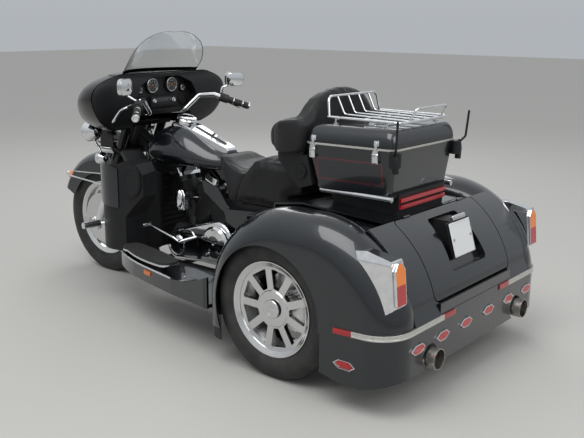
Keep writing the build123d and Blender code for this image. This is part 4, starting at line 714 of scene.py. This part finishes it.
def puffedCopy(node, look):
    shells = [copyOfNode(node, look["name"])] + [filledCorner(*corner) for corner in look["filled"]]
    if "armCut" in look:
        spot, normal = look["armCut"]
        for shell in shells:
            for side in (1, -1):
                mergeDoubles(shell)
                bpy.ops.mesh.bisect(plane_co=(side * spot[0], spot[1], 0), use_fill=True, clear_outer=True,
                                    plane_no=(side * normal[0], normal[1], 0))
                leaveEdit()
    cushion = joinPieces(shells)
    mergeDoubles(cushion)
    leaveEdit()
    applyModifier(cushion, "REMESH", mode="VOXEL", voxel_size=look["voxel"])
    applyModifier(cushion, "DISPLACE", strength=-look["shrink"], mid_level=0.0)
    applyModifier(cushion, "SMOOTH", factor=0.5, iterations=look["rounds"])
    inflate(cushion, look)
    applyModifier(cushion, "SMOOTH", factor=0.5, iterations=look["settle"])
    return cushion


def sewChannels(cushion, look):
    # each seam pulls the cover in along its plane
    for spot, normal, depth, width, region in look["seams"]:
        plane = Vector(normal).normalized()
        for vertex in cushion.data.vertices:
            away = (vertex.co - Vector(spot)).dot(plane)
            if abs(away) < 3 * width and seamRegions[region](vertex.co):
                vertex.co -= vertex.normal * depth * math.exp(-(away / width) ** 2)
    cushion.data.update()


def makeCushion(node, look):
    cushion = puffedCopy(node, look)
    sewChannels(cushion, look)
    applyModifier(cushion, "SUBSURF", levels=1, render_levels=1)
    pipings = [edgeOn(cushion, spot, Vector(normal).normalized(), seamRegions[region], 0.0021)
               for spot, normal, depth, width, region in look["seams"]]
    handOver(cushion, look["name"], leather, angle=60)
    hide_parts(node)
    handOver(joinPieces(pipings), look["name"] + "Piping", "blackPlastic")
    print(look["name"], "ready,", len(cushion.data.polygons), "faces")


for node, look in cushionLook.items():
    makeCushion(node, look)


boxTrim = {"seamLow": 0.9462, "seamHigh": 0.9548, "stripThick": 0.0032, "latchAlong": (0.687, 0.987),
           "seamEdge": ((0.637, 0.288), (1.067, 0.252)),  # along and half width, front and rear
           "footEdge": ((0.681, 0.270), (1.040, 0.238)), "levels": (0.762, 0.955),
           "lever": (0.027, 0.034, 0.0055), "knuckle": (0.0048, 0.030), "keeper": (0.024, 0.022, 0.0050),
           "hook": (0.013, 0.034, 0.0040)}


def lineAt(value, first, last):
    # a straight line through two points
    return first[1] + (value - first[0]) / (last[0] - first[0]) * (last[1] - first[1])


def boxSide(along, up):
    # half width of the top box at a place on its side
    widths = [lineAt(along, *boxTrim[edge]) for edge in ("footEdge", "seamEdge")]
    return lineAt(up, *zip(boxTrim["levels"], widths))


strip = bandOf("top_box", [((0, 0, boxTrim["seamLow"]), (0, 0, -1)), ((0, 0, boxTrim["seamHigh"]), (0, 0, 1))],
               lambda centre, normal: abs(normal.z) < 0.5 and
               normal.x * centre.x + normal.y * (centre.y - 0.85) > 0 and
               (abs(centre.x) > 0.2 or centre.y > 1.06 or centre.y < 0.642),
               boxTrim["stripThick"])
handOver(strip, "boxSeamStrip", "silverStrip")

levers, keepers = [], []
for along in boxTrim["latchAlong"]:
    out = boxSide(along, 0.92)
    lever = plate(boxTrim["lever"], 0.004, 0.0012)
    sinkTop(lever, 0.005, -0.0014)
    knuckle = turned([boxTrim["knuckle"]], 20)
    levers += [stand(lever, (out + 0.0085, along, 0.908), (1, 0.08, -0.09), (0, 1, 0)),
               stand(knuckle, (out + 0.0100, along - 0.015, 0.9285), (0, 1, 0), (1, 0, 0))]
    keeper, hook = plate(boxTrim["keeper"], 0.004, 0.0012), plate(boxTrim["hook"], 0.003, 0.0010)
    keepers += [stand(keeper, (out - 0.0003, along, 0.9735), (1, 0.08, 0.12), (0, 1, 0)),
                stand(hook, (out + 0.0052, along, 0.9600), (1, 0.08, 0.03), (0, 1, 0))]
handOver(bothSides(joinPieces(levers)), "latchLevers", "chromePlate")
handOver(bothSides(joinPieces(keepers)), "latchKeepers", "chromePlate", "box_lid_body")
print("top box trim ready")


plateLook = {"centre": (0, 1.250, 0.579), "facing": (0, 0.957465, 0.288551), "size": (0.1745, 0.142, 0.0011),
             "proud": 0.0062, "screwAt": 0.070}


def onPlate(across, up, out):
    facing = Vector(plateLook["facing"])
    return Vector(plateLook["centre"]) + Vector((across, 0, 0)) + Vector((0, -facing.z, facing.y)) * up + facing * out


blank = plate(plateLook["size"], 0.006, 0.0003)
editMesh(blank)
pickFaces(blank, facesTop)
bpy.ops.mesh.inset(thickness=0.004)
bpy.ops.mesh.inset(thickness=0.0006)
bpy.ops.transform.translate(value=(0, 0, -0.0005))
leaveEdit()
stand(blank, onPlate(0, 0, plateLook["proud"]), plateLook["facing"])
handOver(blank, "numberPlateBlank", "plateWhite", "trunk_lid_body")
screw = turned([(0.0062, 0.0010), (0.0052, 0.0030), (0.0026, 0.0030), (0.0026, 0.0016)], 20, 0.0003)
screws = repeatAt(screw, [placing(onPlate(side, 0, plateLook["proud"] + 0.0007), plateLook["facing"])
                          for side in (-plateLook["screwAt"], plateLook["screwAt"])])
handOver(screws, "numberPlateScrews", "plainSteel", "trunk_lid_body")
lampHood = plate((0.104, 0.020, 0.016), 0.006, 0.0030)
editMesh(lampHood)
pickFaces(lampHood, lambda centre, normal: normal.y < -0.9)
bpy.ops.mesh.inset(thickness=0.0028)
bpy.ops.mesh.extrude_region_move(TRANSFORM_OT_translate={"value": (0, 0.006, 0)})
leaveEdit()
stand(lampHood, onPlate(0, 0.0885, -0.002), plateLook["facing"])
handOver(lampHood, "plateLampHood", "chromePlate", "trunk_lid_body")
print("number plate ready")


lampFrames = bandOf("red_lenses",
                    [((0, 1.2885, 0), (0, -1, 0)), ((0, 0, 0.40), (0, 0, -1)), ((0, 0, 0.625), (0, 0, 1))],
                    lambda centre, normal: abs(normal.y) < 0.5 and abs(centre.x) > 0.5, 0.0034)
handOver(lampFrames, "tailLampFrames", "chromePlate")
lampLook = {"place": (0.574, 1.3120, 0.5400), "facing": (0, 0.9955, 0.095), "buttonBack": 0.0002}
lampBar = plate((0.058, 0.0052, 0.0030), 0.0, 0.0008)
button = turned([(0.0105, 0.0020), (0.0088, 0.0042), (0.0060, 0.0042), (0.0060, 0.0032)], 28, 0.0004)
across, back, up = lampLook["place"]
lampBars = repeatAt(lampBar, [placing((side, back, up), lampLook["facing"]) for side in (-across, across)])
buttons = repeatAt(button, [placing((side, back - lampLook["buttonBack"], up), lampLook["facing"])
                            for side in (-across, across)])
handOver(joinPieces([lampBars, buttons]), "tailLampBars", "chromePlate")

diamondFrames = bandOf("red_lenses", [((0, 0, 0.30), (0, 0, 1))],
                       lambda centre, normal: abs(normal.y) < 0.5 and centre.y > 1.33, 0.0042)
handOver(diamondFrames, "bumperReflectorFrames", "chromePlate")
print("tail lamps ready")


dialLook = {"face": -0.575, "big": (0.068, 1.112, 0.046, 0.018), "small": (0.150, 1.091, 0.023, 0.014),
            "speaker": (0.150, 1.027), "sweep": 240, "rim": 0.0108, "sunk": 0.0059,
            "marksAt": 0.93, "marks": ((0.16, 0.0010), (0.09, 0.0006)), "textAt": 0.60, "textSize": 0.21,
            "needle": 0.80}  # shares of the radius, and each mark's width


def dialTurn(number, count):
    # angle of one of count marks along the dial's sweep
    return math.radians(90 + dialLook["sweep"] / 2 - dialLook["sweep"] * number / max(count - 1, 1))


def dialPiece(radius, ticks, numbers, name, origin, reading):
    # a dark face with ticks, plain numbers, a needle and a thin bright ring
    flat = placing(origin, *facingRear)
    face = turned([(radius, 0.0008), (radius * 0.965, 0.0008), (radius * 0.965, 0.0004)], 48, 0)
    settle(face, flat)
    handOver(face, name + "Face", "dialFace", "steering")
    marks = []
    for number in range(ticks):
        share, wide = dialLook["marks"][number % 2]
        mark = plate((radius * share, wide, 0.0003), 0, 0)
        settle(mark, flat @ Matrix.Rotation(dialTurn(number, ticks), 4, "Z")
               @ Matrix.Translation((radius * (dialLook["marksAt"] - share / 2), 0, 0.0005)))
        marks.append(mark)
    for number in range(numbers):
        turn = dialTurn(number, numbers)
        deselectAll()
        bpy.ops.object.text_add(location=(0, 0, 0))
        text = bpy.context.object
        text.data.body = str(number * (20 if radius > 0.03 else 1))
        text.data.size = radius * dialLook["textSize"]
        text.data.align_x, text.data.align_y = "CENTER", "CENTER"
        text.data.extrude = 0.00015
        text.data.resolution_u = 2
        bpy.ops.object.convert(target="MESH")
        text = bpy.context.object
        away = radius * dialLook["textAt"]
        settle(text, flat @ Matrix.Translation((math.cos(turn) * away, math.sin(turn) * away, 0.0007)))
        marks.append(text)
    handOver(joinPieces(marks), name + "Marks", "plateWhite", "steering")
    needle = plate((radius * dialLook["needle"], 0.0022, 0.0006), 0, 0)
    editMesh(needle)
    pickFaces(needle, lambda centre, normal: normal.x > 0.9)
    bpy.ops.transform.resize(value=(1, 0.15, 1))
    leaveEdit()
    settle(needle, flat @ Matrix.Rotation(math.radians(reading), 4, "Z")
           @ Matrix.Translation((radius * 0.28, 0, 0.0016)))
    hub = turned([(radius * 0.12, 0.0022), (radius * 0.07, 0.0030)], 20, 0.0003)
    settle(hub, flat)
    handOver(joinPieces([needle, hub]), name + "Needle", "needleOrange", "steering")
    ring = turned([(radius + 0.0035, 0.0022), (radius + 0.0008, 0.0034, True), (radius - 0.0008, 0.0034),
                   (radius - 0.0009, 0.0006)], 48, 0.0003)
    editMesh(ring)
    pickFaces(ring, lambda centre, normal: abs(normal.z) > 0.9 and centre.xy.length < 0.001)
    bpy.ops.mesh.delete(type="FACE")
    bpy.ops.mesh.select_mode(type="EDGE")
    bpy.ops.mesh.select_all(action="DESELECT")
    bpy.ops.mesh.select_non_manifold()
    bpy.ops.mesh.bridge_edge_loops()
    leaveEdit()
    recalculate(ring)
    return stand(ring, Vector(origin) + Vector((0, 0.0002, 0)), *facingRear)


rings = []
for side, tag, numbers, bigReading in ((1, "Left", 7, 205), (-1, "Right", 6, 222)):
    for size, ticks, count, reading in (("big", 17, numbers, bigReading), ("small", 7, 0, 140)):
        across, up, radius, deep = dialLook[size]
        origin = (side * across, dialLook["face"] + deep - dialLook["sunk"], up)
        rings.append(dialPiece(radius - dialLook["rim"], ticks, count, size + "Dial" + tag, origin, reading))
handOver(joinPieces(rings), "dialRings", "chromePlate", "steering")

radio = {"origin": (0, -0.5559, 1.027), "face": (0.168, 0.046, 0.0016), "display": (0.104, 0.020, 0.0012),
         "keys": 6, "keySize": (0.0125, 0.0062, 0.0022), "firstKey": -0.046, "keyStep": 0.0184, "knobAt": 0.068}


def onRadio(across, out, up):
    return placing(Vector(radio["origin"]) + Vector((across, out, up)), *facingRear)


front = plate(radio["face"], 0.004, 0.0005)
settle(front, onRadio(0, 0, 0))
handOver(front, "radioFront", "blackPlastic", "steering")
display = plate(radio["display"], 0.002, 0.0003)
settle(display, onRadio(0, 0.0016, 0.008))
handOver(display, "radioDisplay", "dialFace", "steering")
keys = repeatAt(plate(radio["keySize"], 0.0010, 0.0005),
                [onRadio(radio["firstKey"] + radio["keyStep"] * number, 0.0014, -0.0130)
                 for number in range(radio["keys"])])
handOver(keys, "radioKeys", "softRubber", "steering")
knob = turned([(0.0105, 0.0030), (0.0092, 0.0110), (0.0070, 0.0110), (0.0064, 0.0104)], 28, 0.0006)
editMesh(knob)
pickFaces(knob, lambda centre, normal: abs(normal.z) < 0.3 and centre.z > 0.004)
bpy.ops.mesh.inset(thickness=0.0003, use_individual=True)
bpy.ops.transform.resize(value=(0.96, 0.96, 1))
leaveEdit()
knobs = repeatAt(knob, [onRadio(side, 0.0012, 0.004) for side in (-radio["knobAt"], radio["knobAt"])])
handOver(knobs, "radioKnobs", "chromePlate", "steering")

grille = turned([(0.0225, 0.0020), (0.0205, 0.0034), (0.0175, 0.0034), (0.0165, 0.0018), (0.0135, 0.0018),
                 (0.0128, 0.0030), (0.0098, 0.0030), (0.0090, 0.0018), (0.0052, 0.0018), (0.0046, 0.0040)], 36, 0.0003)
grilles = repeatAt(grille, [placing((side * dialLook["speaker"][0], dialLook["face"] + 0.0045,
                                     dialLook["speaker"][1]), *facingRear) for side in (1, -1)])
handOver(grilles, "dashSpeakers", "blackPlastic", "steering")
print("dash ready")


mirrorLook = {"centre": (0.388, -0.392, 1.131), "facing": (-0.34, 0.94, 0), "across": (0.94, 0.34, 0),
              "size": (0.1035, 0.0715, 0.0012), "corner": 0.0265}
glass = plate(mirrorLook["size"], mirrorLook["corner"], 0.0004, 12)
stand(glass, *(mirrorLook[key] for key in ("centre", "facing", "across")))
handOver(bothSides(glass), "mirrorGlasses", "mirrorSilver", "steering")

gripLook = {"end": (0.400, -0.315, 0.988), "barBend": (0.268, -0.440, 1.050), "rings": (0.030, 0.082),
            "capOut": 0.0055}
gripEnd = Vector(gripLook["end"])
alongGrip = (gripEnd - Vector(gripLook["barBend"])).normalized()
cap = turned([(0.0200, 0.0040), (0.0192, 0.0080), (0.0150, 0.0100, True), (0.0120, 0.0100), (0.0110, 0.0088)],
             32, 0.0010)
stand(cap, gripEnd + alongGrip * gripLook["capOut"], alongGrip, (0, 0, 1))
gripRings = repeatAt(turned([(0.0182, 0.0050), (0.0177, 0.0066)], 32, 0.0006),
                     [placing(gripEnd - alongGrip * back, alongGrip, (0, 0, 1)) for back in gripLook["rings"]])
handOver(bothSides(joinPieces([cap, gripRings])), "gripEnds", "chromePlate", "steering")
print("mirrors and grips ready")


shieldTrim = bandOf("windshield", [((0, 0, 1.1975), (0, 0, 1))],
                    lambda centre, normal: abs(normal.z) < 0.9, 0.0014)
handOver(shieldTrim, "windshieldTrim", "blackGloss", "steering")


hubCap = turned([(0.040, 0.0030), (0.037, 0.0060, True), (0.030, 0.0060), (0.027, 0.0042), (0.018, 0.0042),
                 (0.014, 0.0062, True)], 40, 0.0006)
stand(hubCap, (0.6002, 0.725, 0.303), (1, 0, 0), (0, 1, 0))
handOver(hubCap, "hubCapLeft", "polishedAlloy", "left_wheel_body")
handOver(otherSide(hubCap), "hubCapRight", "polishedAlloy", "right_wheel_body")
print("wheels ready")


def surfaceAt(node, start, way):
    # the point and outward normal where a line from start meets a CAD node
    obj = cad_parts[node]
    hit, point, normal, number = obj.ray_cast(Vector(start), Vector(way).normalized())
    if not hit:
        print("no surface on", node, "from", start)
        return Vector(start), -Vector(way)
    return point, normal


footLook = {"rimLow": 0.3150, "rimHigh": 0.3245, "rimThick": 0.0022}
footRims = bandOf("footboards", [((0, 0, footLook["rimLow"]), (0, 0, -1)), ((0, 0, footLook["rimHigh"]), (0, 0, 1))],
                  lambda centre, normal: abs(normal.z) < 0.5, footLook["rimThick"])
handOver(footRims, "footboardRims", "chromePlate")

spot, normal = surfaceAt("running_boards", (0.80, -0.130, 0.268), (-1, 0, 0))
reflector = plate((0.062, 0.022, 0.0050), 0.005, 0.0014)
sinkTop(reflector, 0.0028, -0.0010)
stand(reflector, spot - normal * 0.0004, normal, (0, 1, 0))
handOver(bothSides(reflector), "boardReflectors", "amberLens")

cornerLook = {"from": (0.95, 1.42, 0.190), "way": (-0.72, -0.69, 0), "long": 0.052, "flat": 0.394}
spot, normal = surfaceAt("rear_bumper", cornerLook["from"], cornerLook["way"])
cornerFrame = turned([(cornerLook["long"], 0.0090), (cornerLook["long"] - 0.0055, 0.0090),
                      (cornerLook["long"] - 0.0055, 0.0050)], 6, 0.0006)
cornerLens = turned([(cornerLook["long"] - 0.0060, 0.0066), (0.022, 0.0092, True)], 6, 0.0006)
for piece in (cornerFrame, cornerLens):
    stretch(piece, (cornerLook["flat"], 1, 1))
    stand(piece, spot - normal * 0.0015, normal, (0, 0, 1))
handOver(bothSides(cornerFrame), "cornerReflectorFrames", "chromePlate")
handOver(bothSides(cornerLens), "cornerReflectors", "redLens")
print("running boards ready")


ovalLook = {"centre": (0.364, -0.402, 0.660), "facing": (0.912, 0.41, 0), "across": (-0.41, 0.912, 0), "proud": 0.0130,
            "stretch": (0.90, 1.56, 1.0)}
oval = turned([(0.0500, 0.0024), (0.0480, 0.0044), (0.0430, 0.0044), (0.0415, 0.0020)], 48, 0.0005)
stretch(oval, ovalLook["stretch"])
stand(oval, Vector(ovalLook["centre"]) + Vector(ovalLook["facing"]) * ovalLook["proud"], ovalLook["facing"],
      ovalLook["across"])
handOver(bothSides(oval), "fairingOvalRims", "blackPlastic")

podGrille = turned([(0.0300, 0.0022), (0.0285, 0.0042), (0.0240, 0.0042), (0.0228, 0.0020), (0.0170, 0.0020),
                    (0.0160, 0.0036), (0.0120, 0.0036), (0.0110, 0.0020), (0.0060, 0.0020), (0.0052, 0.0050)],
                   40, 0.0004)
spot, normal = surfaceAt("rear_pods", (0.40, 0.617, 0.820), (-1, 0, 0))
stand(podGrille, spot - normal * 0.0004, normal, (0, 1, 0))
handOver(bothSides(podGrille), "podSpeakerGrilles", "blackPlastic")
print("speakers ready")


boltLook = {"head": 0.0058, "tall": 0.0062, "centre": (0.2106, 0.008, 0.372), "circle": 0.074, "count": 5}
bolt = turned([(boltLook["head"], boltLook["tall"]), (boltLook["head"] * 0.55, boltLook["tall"]),
               (boltLook["head"] * 0.50, boltLook["tall"] * 0.45)], 16, 0.0005)
boltPlaces = []
for number in range(boltLook["count"]):
    turn = math.radians(90 + 360 * number / boltLook["count"])
    shift = Vector((0, math.cos(turn), math.sin(turn))) * boltLook["circle"]
    boltPlaces.append(placing(Vector(boltLook["centre"]) + shift, (1, 0, 0), (0, 1, 0)))
handOver(repeatAt(bolt, boltPlaces), "derbyBolts", "plainSteel")

consoleLook = {"front": (-0.306, 0.9025), "rear": (-0.098, 0.8305), "width": 0.0255,
               "capAt": (0, -0.380, 0.940), "capAxis": (0, 0.25, 0.968), "capUp": 0.0155}
first, last = Vector((0, *consoleLook["front"])), Vector((0, *consoleLook["rear"]))
inset = plate((consoleLook["width"], (last - first).length, 0.0026), 0.004, 0.0008)
along = (last - first).normalized()
stand(inset, (first + last) / 2, Vector((0, -along.z, along.y)), (1, 0, 0))
handOver(inset, "consoleInset", "blackPlastic")
capRing = turned([(0.0500, 0.0022), (0.0470, 0.0040), (0.0330, 0.0056, True), (0.0290, 0.0056), (0.0275, 0.0044),
                  (0.0100, 0.0050, True)], 48, 0.0005)
capAxis = Vector(consoleLook["capAxis"]).normalized()
stand(capRing, Vector(consoleLook["capAt"]) + capAxis * consoleLook["capUp"], capAxis)
handOver(capRing, "fuelCapCrown", "chromePlate")
print("console ready")


def stripAlong(points, height):
    # an upright edge is drawn on from point to point
    deselectAll()
    bpy.ops.mesh.primitive_plane_add(size=1, location=(0, 0, 0))
    obj = bpy.context.object
    editMesh(obj, "VERT")
    mesh = bmesh.from_edit_mesh(obj.data)
    for vert in mesh.verts:
        vert.select_set(vert.co.x > 0)
    mesh.select_flush_mode()
    bmesh.update_edit_mesh(obj.data)
    bpy.ops.mesh.delete(type="VERT")
    mesh = bmesh.from_edit_mesh(obj.data)
    first = Vector(points[0])
    for vert in mesh.verts:
        vert.co = first + Vector((0, 0, math.copysign(height / 2, vert.co.y)))
        vert.select_set(True)
    mesh.select_flush_mode()
    bmesh.update_edit_mesh(obj.data)
    bpy.ops.mesh.select_mode(type="EDGE")
    selectAll()
    for start, end in zip(points, points[1:]):
        shift = Vector(end) - Vector(start)
        bpy.ops.mesh.extrude_region_move(TRANSFORM_OT_translate={"value": tuple(shift)})
    leaveEdit()
    return obj


def faceOutwards(obj, outward):
    # an open strip is turned over when it faces the wrong way
    face = obj.data.polygons[0]
    if face.normal.dot(Vector(outward)) < 0:
        editMesh(obj)
        selectAll()
        bpy.ops.mesh.flip_normals()
        leaveEdit()


bumperLook = {"rearY": 1.3432, "turnX": 0.520, "turnR": 0.1302, "endY": 1.075, "startX": 0.197,
              "rearZ": 0.3300, "endZ": 0.3160, "height": 0.0225, "thick": 0.0048, "step": 0.012}
bumperStrips = [  # name, where it runs in metres from the middle, finish, the way it faces
    ("RedInner", (0.0, 0.088), "redLens", (0, 1, 0)), ("Silver", (0.0885, 0.580), "silverStrip", (0, 1, 0)),
    ("RedOuter", (0.5805, 0.665), "redLens", (1, 0, 0))]


def bumperLine(start, stop):
    # points along the bumper's outer face, from the middle of the rear round to the side
    rear, turnX, radius = bumperLook["rearY"], bumperLook["turnX"], bumperLook["turnR"]
    straight = turnX - bumperLook["startX"]
    bend = radius * math.pi / 2
    whole = bend + rear - radius - bumperLook["endY"]
    count = max(int((stop - start) / bumperLook["step"]), 6)
    points = []
    for number in range(count + 1):
        run = start + (stop - start) * number / count
        up = bumperLook["rearZ"] + (bumperLook["endZ"] - bumperLook["rearZ"]) * max(run - straight, 0) / whole
        if run <= straight:
            points.append((bumperLook["startX"] + run, rear, up))
        elif run <= straight + bend:
            turn = (run - straight) / radius
            points.append((turnX + radius * math.sin(turn), rear - radius * (1 - math.cos(turn)), up))
        else:
            points.append((turnX + radius, rear - radius - (run - straight - bend), up))
    return points


for name, run, finish, outward in bumperStrips:
    strip = stripAlong(bumperLine(*run), bumperLook["height"])
    faceOutwards(strip, outward)
    if name == "Silver":
        editMesh(strip)
        selectAll()
        bpy.ops.mesh.inset(thickness=0.0034)
        bpy.ops.mesh.inset(thickness=0.0007)
        bpy.ops.transform.shrink_fatten(value=-0.0010)
        leaveEdit()
    applyModifier(strip, "SOLIDIFY", thickness=bumperLook["thick"], offset=1.0, use_even_offset=True)
    softenRim(strip, 0.0013, 3)
    handOver(bothSides(strip), "bumperStrip" + name, finish)
print("bumper strips ready")


lipPoints = [(0.346, -0.540), (0.388, -0.478), (0.430, -0.408), (0.460, -0.342), (0.484, -0.274), (0.508, -0.190),
             (0.526, -0.100), (0.545, -0.010), (0.562, 0.078)]
bead = tubeAlong([(across - 0.0035, along, 0.2925) for across, along in lipPoints], 0.0052, sides=4)
handOver(bothSides(bead), "runningBoardBeads", "chromePlate")


coolerLook = {"size": (0.330, 0.460, 0.020), "centre": (0, -0.508, 0.484), "slats": 15, "firstSlat": -0.196,
              "slatStep": 0.028, "slatUp": 0.0195}
cooler = plate(coolerLook["size"], 0.014, 0.0020)
slat = plate((0.286, 0.016, 0.007), 0.0030, 0.0012)
editMesh(slat)
pickFaces(slat, facesTop)
bpy.ops.transform.translate(value=(0, -0.005, 0))
leaveEdit()
slats = repeatAt(slat, [Matrix.Translation((0, coolerLook["firstSlat"] + number * coolerLook["slatStep"],
                                            coolerLook["slatUp"])) for number in range(coolerLook["slats"])])
cooler = joinPieces([cooler, slats])
stand(cooler, coolerLook["centre"], (0, 1, 0.06), (-1, 0, 0))
handOver(cooler, "coolerPanel", "blackPlastic")
sideShield = plate((0.150, 0.420, 0.006), 0.030, 0.0015)
sinkTop(sideShield, 0.012, -0.002)
stand(sideShield, (0.205, -0.470, 0.470), (0.35, 0.93, 0), (-0.93, 0.35, 0))
handOver(bothSides(sideShield), "coolerSideShields", "blackPlastic")
capPlate = plate((0.165, 0.120, 0.008), 0.028, 0.0025)
sinkTop(capPlate, 0.010, 0.004)
stand(capPlate, (0.245, -0.520, 0.742), (-0.15, 0.75, 0.62), (-1, 0, 0))
handOver(bothSides(capPlate), "fairingCaps", "blackPlastic")
print("cooler ready")


podLook = {"centre": (0.2560, 1.0790, 0.8620), "leans": (0.06, 0.04, 1), "stretch": (0.90, 1.0, 1.0)}
pod = turned([(0.014, 0.003), (0.027, 0.010, True), (0.035, 0.026, True), (0.0375, 0.046, True), (0.034, 0.066, True),
              (0.024, 0.079, True), (0.012, 0.085, True)], 32, 0.0015)
stretch(pod, podLook["stretch"])
stand(pod, podLook["centre"], podLook["leans"])
handOver(bothSides(pod), "antennaPodShells", "blackPlastic")
print("pods ready")


leverLook = {"fromGripEnd": 0.146, "points": [(0.014, -0.034, -0.003), (0.060, -0.0555, -0.018),
                                             (0.105, -0.038, -0.040), (0.152, -0.0115, -0.0665)],
             "radius": 0.0066}
leverHub = gripEnd - alongGrip * leverLook["fromGripEnd"]
leverLine = [leverHub + Vector(point) for point in leverLook["points"]]
blade = tubeAlong(leverLine, leverLook["radius"], sides=4)
ball = turned([(0.0040, 0.0020), (0.0085, 0.0050, True), (0.0092, 0.0090, True), (0.0085, 0.0130, True),
               (0.0040, 0.0165, True)], 24, 0.0004)
stand(ball, leverLine[-1], leverLine[-1] - leverLine[-2], (0, 0, 1))
handOver(bothSides(joinPieces([blade, ball])), "leverBlades", "chromePlate", "steering")
print("levers ready")


hornLook = {"centre": (0.1510, -0.288, 0.544), "stretch": (0.80, 1.42, 1)}
dome = turned([(0.0400, 0.0020), (0.0390, 0.0060, True), (0.0350, 0.0120, True), (0.0280, 0.0170, True),
               (0.0190, 0.0204, True), (0.0090, 0.0222, True)], 40, 0.0006)
stretch(dome, hornLook["stretch"])
stand(dome, hornLook["centre"], (1, 0, 0), (0, 1, 0))
handOver(dome, "hornDome", "chromePlate", angle=50)


fenderLook = {"from": (0.40, -1.352, 0.566), "to": (0.40, -0.985, 0.588), "points": 9, "radius": 0.0034}
trim = []
for number in range(fenderLook["points"]):
    start = Vector(fenderLook["from"]).lerp(Vector(fenderLook["to"]), number / (fenderLook["points"] - 1))
    spot, normal = surfaceAt("front_fender", start, (-1, 0, 0))
    if spot.x < 0.2:
        trim.append(spot + normal * 0.0012)
handOver(bothSides(tubeAlong(trim, fenderLook["radius"])), "fenderTrimLines", "chromePlate", "steering")
tipLens = plate((0.168, 0.104, 0.026), 0.050, 0.0080, 10)
stand(tipLens, (0, -1.312, 0.524), (0, 0.22, 1), (1, 0, 0))
handOver(tipLens, "fenderTipLens", "amberLens", "steering")


# black plates on each side under the seat: they stand in for the dark frame and side-panel parts there, and also fill
# the gap with painted shade so the floor doesn't show through
underSeatShadeLook = {"outline": [(-0.080, 0.560), (0.000, 0.600), (0.110, 0.596), (0.470, 0.592), (0.560, 0.655),
                         (0.830, 0.655), (0.830, 0.540), (0.470, 0.520), (-0.040, 0.470)],
             "side": 0.150, "thick": 0.008}
under = drawnOut([(underSeatShadeLook["side"], along, up) for along, up in underSeatShadeLook["outline"]], (underSeatShadeLook["thick"], 0, 0))
softenRim(under, 0.002)
handOver(bothSides(under), "underSeatPanels", "blackPlastic")
print("fender and side trim ready")
